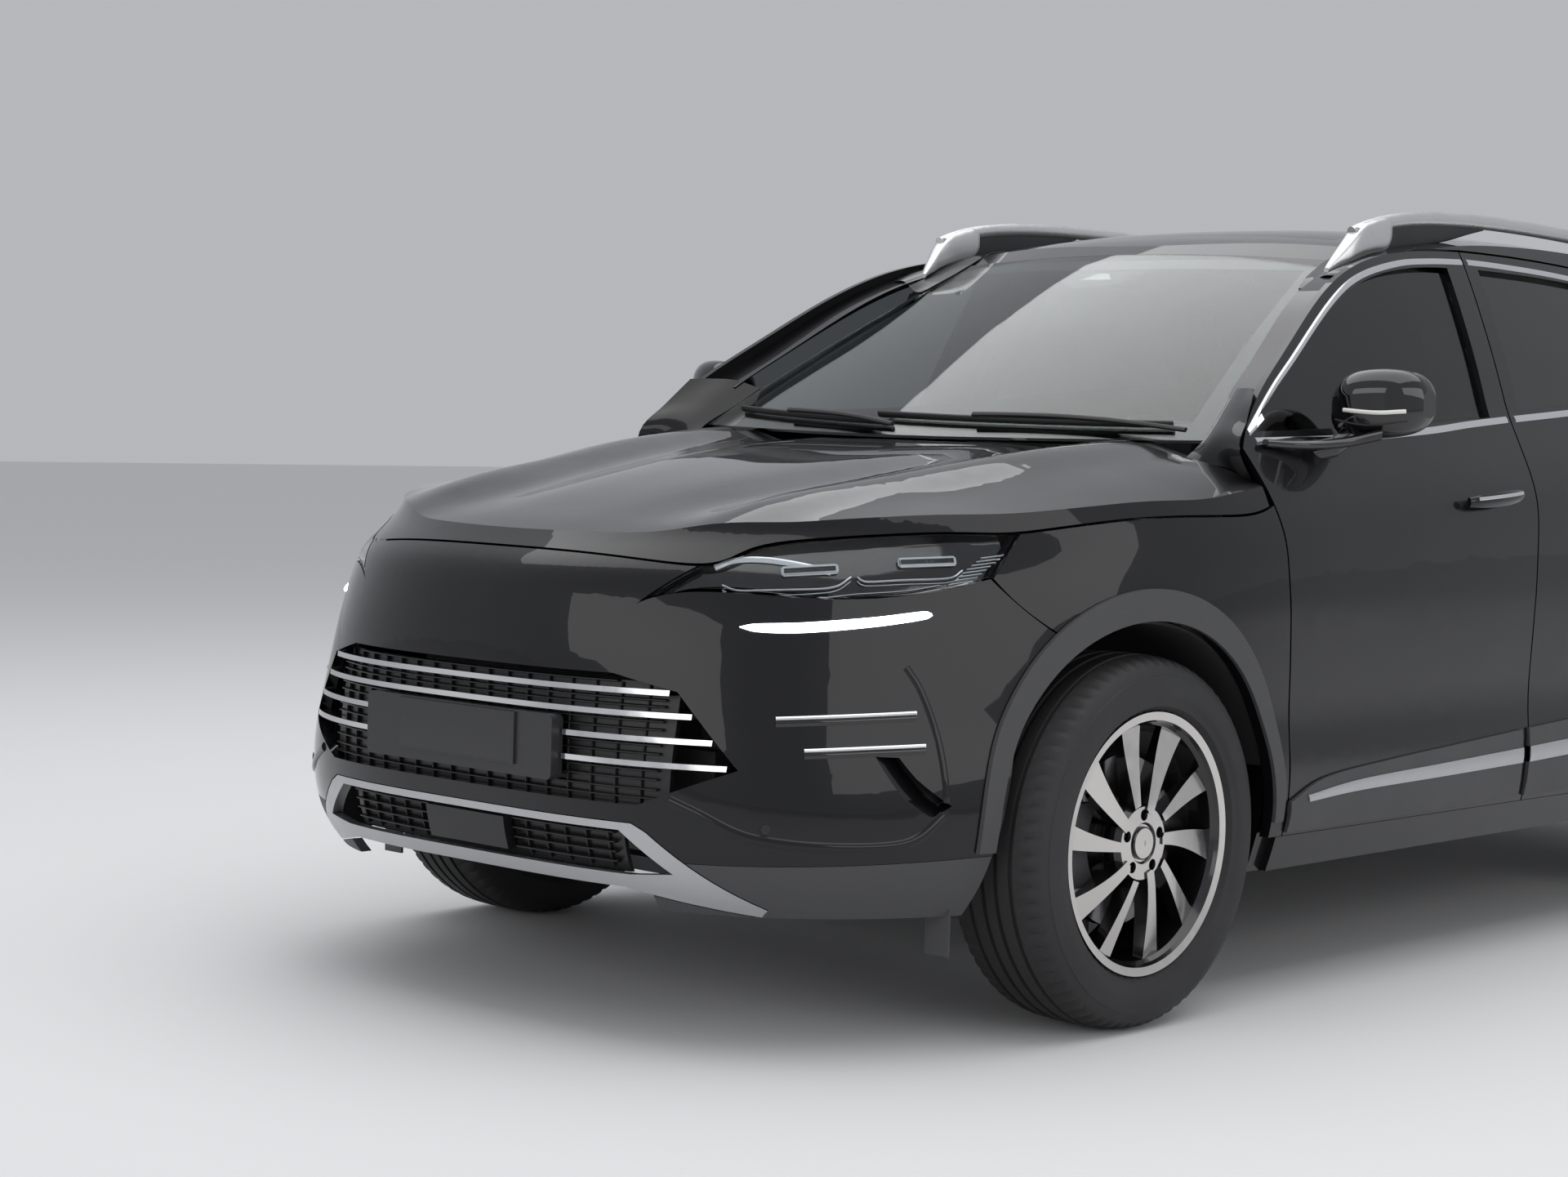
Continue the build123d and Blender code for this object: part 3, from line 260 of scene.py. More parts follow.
def body_glass():
    """Clear ahead of ROOF_GLASS_FROM, dark behind it."""
    mat = finish("body_glass", (0.60, 0.65, 0.63), (0.0, 0.0), transmission=1.0)
    tree = mat.node_tree
    link = tree.links.new
    place = tree.nodes.new("ShaderNodeTexCoord")
    split = tree.nodes.new("ShaderNodeSeparateXYZ")
    behind = tree.nodes.new("ShaderNodeMath")
    behind.operation = "GREATER_THAN"
    behind.inputs[1].default_value = ROOF_GLASS_FROM
    link(place.outputs["Object"], split.inputs[0])
    link(split.outputs[1], behind.inputs[0])
    color = color_mix(tree, behind.outputs[0], (0.62, 0.67, 0.65, 1), (0.012, 0.013, 0.013, 1))
    link(color, tree.nodes["Principled BSDF"].inputs["Base Color"])
    return mat


screen = body_glass()

# %% Give every node its finish
NODE_FINISH = {
    "underbody": underseal, "roof_panel": paint, "fixed_glass": screen, "front_bumper": paint,
    "grille_mesh": mesh_black, "grille_bars": chrome, "skid_frames": satin, "cladding": cladding,
    "headlamp_housings": piano, "headlamp_lenses": lens, "cowl_panel": dark, "plate_holders": bare_plate,
    "rear_bumper": paint, "tail_lamps": lamp_red, "roof_rails": rail_silver, "powertrain_block": cast,
    "suspension": cast, "exhaust": cast, "battery_pack": underseal, "dashboard": soft,
    "seats": leather, "bonnet": paint, "tailgate": paint, "tailgate_glass": privacy,
    "steering_wheel": leather, "fuel_flap": paint, "charge_flap": paint}
PREFIX_FINISH = [("tyre", dark), ("wheel", two_tone), ("door_glass_front", tint),
                 ("door_glass_rear", privacy), ("door", paint), ("quarter", paint),
                 ("body_side", paint), ("fender", paint), ("mirror", piano), ("knuckle", cast)]


def choose(name):
    """The finish of a CAD node."""
    if name in NODE_FINISH:
        return NODE_FINISH[name]
    return next(mat for start, mat in PREFIX_FINISH if name.startswith(start))


for name, node in nodes.items():
    node.data.materials.clear()
    node.data.materials.append(choose(name))

# %% [markdown]
# ## Trim that follows the body
# Bright strips, lamps and seams lie on curved panels. Rather than working out each curve again, a row
# of points is dropped on to the panel along a straight direction, as a template is laid on a real
# door, and a thin solid is built between two such rows.


# %% Drop points on to panels
def skin(*names):
    """A search tree over the faces of some nodes."""
    verts, faces = [], []
    for name in names:
        mesh = nodes[name].data
        start = len(verts)
        verts += [v.co.copy() for v in mesh.vertices]
        faces += [[start + i for i in p.vertices] for p in mesh.polygons]
    return BVHTree.FromPolygons(verts, faces)


STAND_OFF, RAY_LENGTH = 0.6, 2.0


def drop(tree, points, direction, lift):
    """Each point moved along direction on to the tree, then lifted off it.

    A point that misses the panel keeps its place beside the nearest one that meets it.
    """
    direction = Vector(direction).normalized()
    found = []
    for p in points:
        hit, normal, _, _ = tree.ray_cast(Vector(p) - direction * STAND_OFF, direction, RAY_LENGTH)
        if hit is not None and normal.dot(direction) > 0:
            normal = -normal
        found.append(None if hit is None else hit + normal * lift)
    known = [i for i, f in enumerate(found) if f is not None]
    if not known:
        raise ValueError("no point of this line meets the panel")
    for i, f in enumerate(found):
        if f is None:
            near = min(known, key=lambda k: abs(k - i))
            shift = Vector(points[i]) - Vector(points[near])
            found[i] = found[near] + shift - direction * shift.dot(direction)
    return found


def resample(points, count):
    """The same broken line with evenly spaced points."""
    pts = [Vector(p) for p in points]
    lengths = [0.0]
    for a, b in zip(pts, pts[1:]):
        lengths.append(lengths[-1] + (b - a).length)
    result = []
    for i in range(count):
        t = lengths[-1] * i / (count - 1)
        k = max(j for j in range(len(pts) - 1) if lengths[j] <= t + 1e-9)
        span = lengths[k + 1] - lengths[k] or 1e-9
        result.append(pts[k].lerp(pts[k + 1], (t - lengths[k]) / span))
    return result


def smooth_line(points, count):
    """A rounded line through the points (Catmull-Rom), evenly spaced."""
    pts = [Vector(p) for p in points]
    ext = [2 * pts[0] - pts[1]] + pts + [2 * pts[-1] - pts[-2]]
    fine = []
    for i in range(1, len(ext) - 2):
        a, b, c, d = ext[i - 1:i + 3]
        for s in range(12):
            t = s / 12
            fine.append(0.5 * (2 * b + (c - a) * t + (2 * a - 5 * b + 4 * c - d) * t * t
                               + (3 * b - a - 3 * c + d) * t ** 3))
    return resample(fine + [pts[-1]], count)


def put(name, data, mat, body, slot=None, sharp=None):
    """Put a mesh in the scene with its finish, riding on a body; edges over sharp degrees stay crisp."""
    if sharp:
        data.shade_smooth()
        data.set_sharp_from_angle(angle=math.radians(sharp))
    data.materials.append(mat)
    obj = bpy.data.objects.new(name, data)
    bpy.context.scene.collection.objects.link(obj)
    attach(obj, body)
    slot = slot or SLOTS[mat.name]
    return obj


def mesh_of(bm, name):
    """The mesh of a finished bmesh."""
    data = bpy.data.meshes.new(name)
    bm.to_mesh(data)
    bm.free()
    return data


def add_mesh(name, verts, faces, mat, body="body", slot=None):
    """A smooth closed piece from points and faces."""
    data = bpy.data.meshes.new(name)
    data.from_pydata([tuple(v) for v in verts], [], faces)
    data.validate()
    bm = bmesh.new()
    bm.from_mesh(data)
    bmesh.ops.recalc_face_normals(bm, faces=bm.faces)
    bm.to_mesh(data)
    bm.free()
    return put(name, data, mat, body, slot, sharp=38)


def with_heading(path):
    """Each point of a path with the direction the path takes there."""
    pts = [Vector(p) for p in path]
    last = len(pts) - 1
    return [(p, (pts[min(i + 1, last)] - pts[max(i - 1, 0)]).normalized()) for i, p in enumerate(pts)]


def circle(n, shift=0.0):
    """The cosine and sine of n even angles, all turned by a share of one step."""
    return [(math.cos(a), math.sin(a)) for a in (2 * math.pi * (k + shift) / n for k in range(n))]


def tube_faces(rings, around):
    """Faces round a row of rings of points, with both ends closed."""
    faces = [[i * around + k, i * around + (k + 1) % around, (i + 1) * around + (k + 1) % around,
              (i + 1) * around + k] for i in range(rings - 1) for k in range(around)]
    return faces + [list(range(around))[::-1], [(rings - 1) * around + k for k in range(around)]]


def shell_between(rows, under):
    """A thin closed solid whose top is a grid of points and whose foot lies lower along vectors."""
    n, m = len(rows), len(rows[0])
    verts = [p for row in rows for p in row] + [p + u for row, us in zip(rows, under)
                                                for p, u in zip(row, us)]
    top = lambda i, j: i * m + j
    low = lambda i, j: n * m + i * m + j
    faces = []
    for i in range(n - 1):
        for j in range(m - 1):
            faces.append([top(i, j), top(i + 1, j), top(i + 1, j + 1), top(i, j + 1)])
            faces.append([low(i, j), low(i, j + 1), low(i + 1, j + 1), low(i + 1, j)])
    for i in range(n - 1):
        faces.append([top(i, 0), low(i, 0), low(i + 1, 0), top(i + 1, 0)])
        faces.append([top(i, m - 1), top(i + 1, m - 1), low(i + 1, m - 1), low(i, m - 1)])
    for j in range(m - 1):
        faces.append([top(0, j), top(0, j + 1), low(0, j + 1), low(0, j)])
        faces.append([top(n - 1, j), low(n - 1, j), low(n - 1, j + 1), top(n - 1, j + 1)])
    return verts, faces


STRIP_PROUD = 0.0015


def strip(name, tree, low_edge, high_edge, direction, proud, mat, body="body", count=40, crown=0.0,
          sink=0.002):
    """A crowned strip lying on a panel between two lines, standing proud of it and sunk a little in."""
    across = 5
    rows = [[p.lerp(q, j / (across - 1)) for j in range(across)]
            for p, q in zip(smooth_line(low_edge, count), smooth_line(high_edge, count))]
    columns = [drop(tree, [row[j] for row in rows], direction, 0.0) for j in range(across)]
    direction = Vector(direction).normalized()
    lifts = [proud + crown * (1 - (2 * j / (across - 1) - 1) ** 2) for j in range(across)]
    grid = [[columns[j][i] - direction * lifts[j] for j in range(across)] for i in range(count)]
    under = [[direction * (lift + sink) for lift in lifts]] * count
    verts, faces = shell_between(grid, under)
    return add_mesh(name, verts, faces, mat, body)


def flip_for(sign):
    """The function that puts points of the left side on the side wanted."""
    return (lambda pts: list(pts)) if sign > 0 else (lambda pts: [(-x, y, z) for x, y, z in pts])


def spread(a, b, n):
    """n even steps from a to b."""
    return [a + (b - a) * i / (n - 1) for i in range(n)]


def side_points(yz, sign):
    """Points (y, z) set well outside the car, ready to be dropped inwards on to its side."""
    return [(sign * 1.2, y, z) for y, z in yz]


SIDES = (("left", 1), ("right", -1))
AXLES = (("front", FRONT_AXLE), ("rear", REAR_AXLE))
print("trim helpers ready")

# %% [markdown]
# ## Tyres
# The CAD tyre has the right section but no tread. A tyre is a band of rubber with a few grooves round
# it and short cuts across its shoulders, so the mesh is turned round the axle from one section, and
# the shoulder cuts are made by pulling in one step in three. It stays inside the CAD tyre.


# %% Tyres with tread
TREAD = [(0.000, 0.3588), (0.010, 0.3588), (0.0115, 0.3520), (0.0195, 0.3520), (0.021, 0.3586),
         (0.045, 0.3578), (0.0465, 0.3515), (0.0545, 0.3515), (0.056, 0.3573), (0.069, 0.3562)]
SHOULDER = [(0.080, 0.3540), (0.0905, 0.3505), (0.0975, 0.3466)]
WALL = [(0.1045, 0.3385), (0.1090, 0.3300), (0.1120, 0.3225), (0.1138, 0.3215), (0.1155, 0.3120),
        (0.1168, 0.3000), (0.1172, 0.2900), (0.1160, 0.2800), (0.1148, 0.2785), (0.1130, 0.2700),
        (0.1112, 0.2635), (0.1040, 0.2590), (0.0960, 0.2545), (0.0935, 0.2450)]
STEPS, CUT_DEPTH, CUT_FROM, CUT_TO, SLANT = 216, 0.0055, 0.066, 0.100, 0.9


def tyre_mesh(name, x, y, body):
    """The section turned round the axle, with a slanting cut across the shoulders at every third step."""
    half = TREAD + SHOULDER + WALL
    section = [(-px, r) for px, r in reversed(half[1:])] + half
    verts, faces = [], []
    for k in range(STEPS):
        a = 2 * math.pi * k / STEPS
        for px, r in section:
            if CUT_FROM < abs(px) < CUT_TO and k % 3 == 0:
                r -= CUT_DEPTH
            slant = SLANT * math.pi * 2 / STEPS * (abs(px) / CUT_TO)
            verts.append((x + px, y + r * math.sin(a + slant), TYRE_R + r * math.cos(a + slant)))
    n = len(section)
    for k in range(STEPS):
        m = (k + 1) % STEPS
        for i in range(n - 1):
            faces.append([k * n + i, m * n + i, m * n + i + 1, k * n + i + 1])
        faces.append([k * n + n - 1, m * n + n - 1, m * n, k * n])
    return add_mesh(name, verts, faces, rubber, body)


rubber = finish("tyre_rubber", (0.016, 0.016, 0.017), (0.55, 0.72), grain=0.35, grain_scale=500.0,
                slot="tyre_rubber")
for place, axle in AXLES:
    for side, sign in SIDES:
        tyre = tyre_mesh(f"tread_{place}_{side}", sign * WHEEL_X, axle, f"wheel_{place}_{side}")
        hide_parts(f"tyre_{place}_{side}")
print("tyre faces:", len(tyre.data.polygons))

# %% [markdown]
# ## Window trim
# A bright strip frames the side windows and another runs under them. They are thin and slightly
# crowned, so each catches one clean line of light.

# %% Side trim
FRAME_TOP = {"front": [(-1.060, 1.150), (-0.929, 1.240), (-0.821, 1.304), (-0.601, 1.431), (-0.449, 1.496),
                       (-0.270, 1.535), (-0.123, 1.549), (0.012, 1.555)],
             "rear": [(0.036, 1.556), (0.157, 1.555), (0.400, 1.547), (0.650, 1.528), (0.960, 1.487)]}
BELT = {"front": [(-1.045, 1.134), (-0.700, 1.146), (-0.395, 1.166), (-0.215, 1.183), (-0.045, 1.197)],
        "rear": [(-0.010, 1.199), (0.293, 1.222), (0.650, 1.250), (1.050, 1.283)]}
for side, sign in SIDES:
    for place in ("front", "rear"):
        door = f"door_{place}_{side}"
        tree = skin(door)
        for kind, line, width in (("frame", FRAME_TOP[place], 0.013), ("belt", BELT[place], 0.014)):
            strip(f"{kind}_strip_{place}_{side}", tree, side_points([(y, z - width) for y, z in line], sign),
                  side_points(line, sign), (-sign, 0, 0), STRIP_PROUD, chrome, door, crown=0.002)
print("side strips done")

# %% [markdown]
# ## Lower door cladding and handles
# Rough grey panels cover the foot of each door, with a bright line drawn through them. They end short
# of the door's own edges so the shut line between the doors stays open. Each handle is a bar that
# stands off the door, with a thin bright strip along it.

# %% Door cladding and handles
CLAD_HIGH = {"front": [(-1.008, 0.407), (-0.884, 0.449), (-0.632, 0.470), (-0.350, 0.486), (-0.085, 0.501)],
             "rear": [(-0.055, 0.503), (0.120, 0.512), (0.450, 0.530), (0.760, 0.552), (0.860, 0.600)]}
CLAD_LOW = {"front": [(-1.008, 0.345), (-0.884, 0.345), (-0.632, 0.347), (-0.350, 0.349), (-0.085, 0.350)],
            "rear": [(-0.055, 0.350), (0.120, 0.350), (0.450, 0.352), (0.640, 0.356), (0.700, 0.372)]}
LINE_HIGH = {"front": [(-0.952, 0.418), (-0.759, 0.437), (-0.420, 0.449), (-0.085, 0.461)],
             "rear": [(-0.055, 0.462), (0.124, 0.469), (0.420, 0.478), (0.690, 0.487)]}
LINE_LOW = {"front": [(-0.945, 0.404), (-0.757, 0.414), (-0.420, 0.420), (-0.085, 0.427)],
            "rear": [(-0.055, 0.427), (0.127, 0.433), (0.420, 0.441), (0.690, 0.450)]}
HANDLE = {"front": (-0.361, -0.133, 1.008, 1.024), "rear": (0.560, 0.788, 1.036, 1.052)}


def rounded_bar(name, path, radii, mat, body="body", around=14):
    """A rod with an oval section (sideways, upright radii) along a path."""
    verts = []
    for i, (p, ahead) in enumerate(with_heading(path)):
        side = ahead.cross(Vector((0, 0, 1)))
        side = side.normalized() if side.length > 1e-6 else Vector((1, 0, 0))
        lift = side.cross(ahead)
        rs, ru = radii[i] if isinstance(radii, list) else radii
        verts += [p + side * rs * c + lift * ru * s for c, s in circle(around)]
    return add_mesh(name, verts, tube_faces(len(path), around), mat, body)


for side, sign in SIDES:
    into = (-sign, 0, 0)
    for place in ("front", "rear"):
        door = f"door_{place}_{side}"
        tree = skin(door)
        for kind, low, high, proud, mat, crown in (
                ("door_cladding", CLAD_LOW, CLAD_HIGH, 0.007, cladding, 0.002),
                ("sill_line", LINE_LOW, LINE_HIGH, 0.0105, satin, 0.001)):
            strip(f"{kind}_{place}_{side}", tree, side_points(low[place], sign),
                  side_points(high[place], sign), into, proud, mat, door, crown=crown, count=30)
        y0, y1, z0, z1 = HANDLE[place]
        ends = drop(tree, side_points([(y0, z0), (y1, z1)], sign), into, 0.0)
        path, radii = [], []
        for t in spread(0, 1, 13):
            out = 0.016 + 0.014 * math.sin(math.pi * t) ** 0.5
            path.append(ends[0].lerp(ends[1], t) + Vector((sign * out, 0, 0)))
            full = math.sin(math.pi * min(max(t, 0.03), 0.97)) ** 0.35
            radii.append((0.007, 0.017 * (0.35 + 0.65 * full)))
        rounded_bar(f"handle_{place}_{side}", path, radii, paint, door)
        trim = [p + Vector((sign * 0.0065, 0, 0.006)) for p in path[1:-1]]
        rounded_bar(f"handle_strip_{place}_{side}", trim, (0.002, 0.004), chrome, door, around=8)
print("door trim done")

# %% [markdown]
# ## Lamps at the front
# A lamp reads as a lamp because of what is behind its lens: rows of small modules in dark cups and thin
# light guides round them. A bright running strip lies under the lens.

# %% Running strip
STRIP_HIGH = [(0.556, -2.22, 0.7716), (0.576, -2.2, 0.7775), (0.612, -2.1, 0.7820), (0.690, -2.0, 0.7935),
              (0.755, -1.95, 0.8045), (0.766, -1.94, 0.8010)]
STRIP_LOW = [(0.558, -2.22, 0.7704), (0.582, -2.2, 0.7635), (0.612, -2.1, 0.7640), (0.690, -2.0, 0.7765),
             (0.757, -1.95, 0.7900), (0.768, -1.94, 0.7970)]
nose_tree = skin("front_bumper", "headlamp_lenses", "fender_left", "fender_right", "cladding",
                 "skid_frames")
lamp_tree = skin("headlamp_lenses")
for side, sign in SIDES:
    flip = flip_for(sign)
    toward = (-sign * 0.55, 0.84, 0.0)
    strip(f"running_light_{side}", nose_tree, flip(STRIP_LOW), flip(STRIP_HIGH), toward, 0.003,
          white_glow, crown=0.003, sink=0.006)
print("running strips done")


# %% Rods laid on the skin
def laid_rod(name, tree, points, direction, radii, mat, body="body", lift=0.0, count=40, around=8,
             rounded=True, slot=None):
    """A rod whose path is dropped on to the skin; radii are (across, along the drop)."""
    line = smooth_line(points, count) if rounded else resample(points, count)
    path = drop(tree, line, direction, 0.0)
    away = -Vector(direction).normalized()
    path = [p + away * lift for p in path]
    verts = []
    for p, ahead in with_heading(path):
        across = ahead.cross(away)
        across = across.normalized() if across.length > 1e-6 else Vector((0, 0, 1))
        depth = across.cross(ahead)
        verts += [p + across * radii[0] * c + depth * radii[1] * s for c, s in circle(around, 0.5)]
    return add_mesh(name, verts, tube_faces(count, around), mat, body, slot)


# %% [markdown]
# ### Inside the headlamps
# Two small modules sit side by side, each a dark cup with a row of tiny lenses. Bent light guides run
# under them, a thin bright rail closes the lamp below, and a ribbed panel fills its outer end. The
# pieces are laid on the back plate so that they stay behind the lens.

# %% Headlamp modules, guides and fins
tray_tree = skin("headlamp_housings")


def rounded_box(name, center, axes, size, mat, bevel):
    """A small box with softened edges, set along three given directions."""
    bm = bmesh.new()
    bmesh.ops.create_cube(bm, size=1.0)
    bmesh.ops.scale(bm, vec=Vector(size), verts=bm.verts)
    bmesh.ops.bevel(bm, geom=bm.edges[:] + bm.verts[:], offset=bevel, segments=2, affect="EDGES",
                    clamp_overlap=True)
    rot = Matrix(axes).transposed().to_4x4()
    bmesh.ops.transform(bm, matrix=Matrix.Translation(center) @ rot, verts=bm.verts)
    return put(name, mesh_of(bm, name), mat, "body", sharp=40)


def upright_box(name, center, size, mat, bevel):
    """A rounded box along the car's own directions."""
    return rounded_box(name, center, ((1, 0, 0), (0, 1, 0), (0, 0, 1)), size, mat, bevel)


MODULES = [((0.570, -2.131, 0.868), (0.640, -2.055, 0.878)),
           ((0.697, -1.958, 0.889), (0.752, -1.860, 0.895))]
LEDS, FINS = 5, 9
GUIDES = [[(0.500, -2.21, 0.842), (0.530, -2.19, 0.834), (0.610, -2.10, 0.836), (0.640, -2.06, 0.842),
           (0.657, -2.04, 0.862)],
          [(0.655, -2.02, 0.858), (0.668, -2.01, 0.850), (0.700, -1.95, 0.852), (0.752, -1.88, 0.862),
           (0.768, -1.86, 0.880)]]
RAIL = [(0.430, -2.27, 0.815), (0.539, -2.217, 0.826), (0.640, -2.111, 0.833), (0.728, -1.990, 0.845),
        (0.766, -1.920, 0.858)]
for side, sign in SIDES:
    flip = flip_for(sign)
    toward = Vector((-sign * 0.62, 0.70, -0.35)).normalized()
    for i, (p, q) in enumerate(MODULES):
        p, q = flip([p, q])
        a, b = drop(tray_tree, [p, q], toward, 0.0)
        along = (b - a).normalized()
        out = -toward
        upward = out.cross(along).normalized() * (1 if out.cross(along).z > 0 else -1)
        out = along.cross(upward)
        out = out if out.dot(toward) < 0 else -out
        axes = (along, out, upward) if along.cross(out).dot(upward) > 0 else (along, -out, upward)
        mid = (a + b) / 2 - toward * 0.006
        rounded_box(f"lamp_cup_{i}_{side}", mid, axes, ((b - a).length, 0.009, 0.019), guide, 0.003)
        rounded_box(f"lamp_cup_dark_{i}_{side}", mid - toward * 0.0028, axes,
                    ((b - a).length - 0.006, 0.006, 0.013), piano, 0.002)
        for k in range(LEDS):
            t = (k + 0.6) / (LEDS + 0.2)
            spot = a.lerp(b, t) - toward * 0.0128
            rounded_box(f"lamp_led_{i}_{k}_{side}", spot, axes, (0.0075, 0.003, 0.0075), lens, 0.0015)
    for i, path in enumerate(GUIDES):
        laid_rod(f"light_guide_{i}_{side}", tray_tree, flip(path), toward, (0.0022, 0.0035), guide,
                 lift=0.006, count=28)
        laid_rod(f"light_guide_low_{i}_{side}", tray_tree, [(x, y, z - 0.008) for x, y, z in flip(path)],
                 toward, (0.0012, 0.002), guide, lift=0.004, count=28)
    laid_rod(f"lamp_rail_{side}", tray_tree, flip(RAIL), toward, (0.0018, 0.003), chrome, lift=0.010)
    for k in range(FINS):
        t = k / (FINS - 1)
        low = Vector((0.765 + 0.017 * t, -1.905 + 0.080 * t, 0.846 + 0.056 * t))
        high = low + Vector((0.018, 0.044, 0.006))
        laid_rod(f"lamp_fin_{k}_{side}", lamp_tree, flip([low, high]), toward, (0.0014, 0.003), guide,
                 lift=-0.009, count=6, rounded=False, slot="dark_plastic")
print("headlamp insides done")

# %% [markdown]
# ## Grille
# The mouth is filled by a net of broad flat cells. Real ones are one moulding; here a grid of thin bars
# is laid on the back panel, upright ones set deeper than the level ones so that light picks out rows.

# %% Grille net
net_tree = skin("grille_mesh")
forward = (0, 1, 0)
ROW_HEIGHTS = [0.664, 0.634, 0.622, 0.596, 0.581, 0.553, 0.538, 0.508, 0.492, 0.474, 0.458, 0.442]
LOW_HEIGHTS = [0.390, 0.372, 0.354, 0.336]
POST_GAP = 0.0525
for k, z in enumerate(ROW_HEIGHTS):
    half = 0.36 if z == max(ROW_HEIGHTS) else 0.452
    laid_rod(f"grille_row_{k}", net_tree, [(-half, -2.3, z), (0, -2.4, z), (half, -2.3, z)], forward,
             (0.0026, 0.008), mesh_black, lift=0.004, count=31)
for k in range(-8, 9):
    x = k * POST_GAP
    laid_rod(f"grille_post_{k + 8}", net_tree, [(x, -2.3, 0.430), (x, -2.3, 0.662)], forward,
             (0.0022, 0.005), mesh_black, lift=0.003, count=7, rounded=False)
for k, z in enumerate(LOW_HEIGHTS):
    for side, sign in SIDES:
        pts = [(sign * 0.118, -2.3, z), (sign * 0.25, -2.3, z), (sign * 0.366, -2.3, z)]
        laid_rod(f"lower_row_{k}_{side}", net_tree, pts, forward, (0.0028, 0.009), mesh_black,
                 lift=0.005, count=16)
for k in range(5):
    for side, sign in SIDES:
        x = sign * (0.150 + 0.050 * k)
        laid_rod(f"lower_post_{k}_{side}", net_tree, [(x, -2.3, 0.324), (x, -2.3, 0.396)], forward,
                 (0.0022, 0.005), mesh_black, lift=0.003, count=5, rounded=False)
print("grille net done")

# %% [markdown]
# ## Corner slats and the lower lip of the bumper
# Two short slats mark each corner, and a rounded fold runs along the foot of the painted bumper and up
# to the corner vent. A parking sensor sits in the bumper beside it.

# %% Corner slats and fold
bumper_tree = skin("front_bumper", "grille_mesh")
CORNER_SLATS = [[(0.632, -2.200, 0.612), (0.700, -2.10, 0.618), (0.775, -1.985, 0.624)],
                [(0.675, -2.170, 0.557), (0.735, -2.08, 0.562), (0.790, -1.975, 0.566)]]
FOLD = [(0.492, -2.321, 0.460), (0.540, -2.29, 0.437), (0.598, -2.261, 0.409), (0.641, -2.228, 0.396),
        (0.704, -2.162, 0.388), (0.772, -2.055, 0.388), (0.800, -2.000, 0.402), (0.822, -1.955, 0.442)]
for side, sign in SIDES:
    flip = flip_for(sign)
    toward = Vector((-sign * 0.72, 0.69, 0.0)).normalized()
    for i, path in enumerate(CORNER_SLATS):
        laid_rod(f"corner_slat_{i}_{side}", bumper_tree, flip(path), toward, (0.0042, 0.004), chrome,
                 lift=0.001, count=24)
        below = [(x, y, z - 0.009) for x, y, z in flip(path)]
        laid_rod(f"corner_blade_{i}_{side}", bumper_tree, below, toward, (0.006, 0.0035), piano,
                 lift=0.0005, count=24)
    laid_rod(f"bumper_fold_{side}", bumper_tree, flip(FOLD), toward, (0.010, 0.006), paint,
             lift=-0.001, count=60, around=12)
    sensor = drop(bumper_tree, flip([(0.641, -2.228, 0.418)]), toward, 0.0)[0]
    bm = bmesh.new()
    bmesh.ops.create_cone(bm, cap_ends=True, segments=28, radius1=0.0105, radius2=0.009, depth=0.005)
    aim = (-toward).to_track_quat("Z", "Y").to_matrix().to_4x4()
    bmesh.ops.transform(bm, matrix=Matrix.Translation(sensor) @ aim, verts=bm.verts)
    put(f"parking_sensor_{side}", mesh_of(bm, f"sensor_{side}"), dark, "body")
print("corner trim done")

# %% [markdown]
# ## Windscreen border, camera cover and wipers
# A windscreen is bonded to the body, and a black ceramic border hides the glue. A camera looks out
# through a small window in a cover at the top. Both are thin skins just inside the glass.

# %% Windscreen details
glass_tree = skin("fixed_glass")
LOOKING_IN = Vector((0, 0.49, -0.87))


def screen_point(u, v):
    """A point of the windscreen: u across (-1 to 1), v up (0 to 1)."""
    base = Vector((0.712 * u, -1.152 + 0.125 * u * u, 1.110 + 0.020 * u * u))
    top = Vector((0.522 * u, -0.351 + 0.055 * u * u, 1.556 - 0.014 * u * u))
    return base.lerp(top, v)


def screen_patch(name, us, vs, mat, depth=0.0075, thick=0.0015):
    """A thin skin behind the glass over rows of (u, v) points."""
    grid, foot = [], []
    for v_row, u_row in zip(vs, us):
        line = [screen_point(u, v) for u, v in zip(u_row, v_row)]
        pts = drop(glass_tree, line, LOOKING_IN, 0.0)
        grid.append([p + LOOKING_IN * depth for p in pts])
        foot.append([LOOKING_IN * thick for _ in pts])
    verts, faces = shell_between(grid, foot)
    return add_mesh(name, verts, faces, mat)


wide = spread(-0.985, 0.985, 33)
screen_patch("border_low", [wide] * 5, [[v] * 33 for v in spread(0.012, 0.085, 5)], frit)
screen_patch("border_high", [wide] * 5,
             [[v + 0.02 * abs(u) for u in wide] for v in spread(0.905, 0.965, 5)], frit)
for side, sign in SIDES:
    edge = [sign * u for u in spread(0.925, 0.988, 4)]
    screen_patch(f"border_{side}", [edge] * 25, [[v] * 4 for v in spread(0.08, 0.93, 25)], frit)
across = spread(-0.20, 0.20, 13)
screen_patch("camera_cover", [across] * 7,
             [[0.915 - t * (0.115 - 1.3 * abs(u) ** 2) for u in across] for t in spread(0, 1, 7)],
             dark, depth=0.010)
screen_patch("camera_window", [spread(-0.03, 0.03, 5), spread(-0.08, 0.08, 5)], [[0.885] * 5, [0.845] * 5],
             guide, depth=0.0088, thick=0.0008)
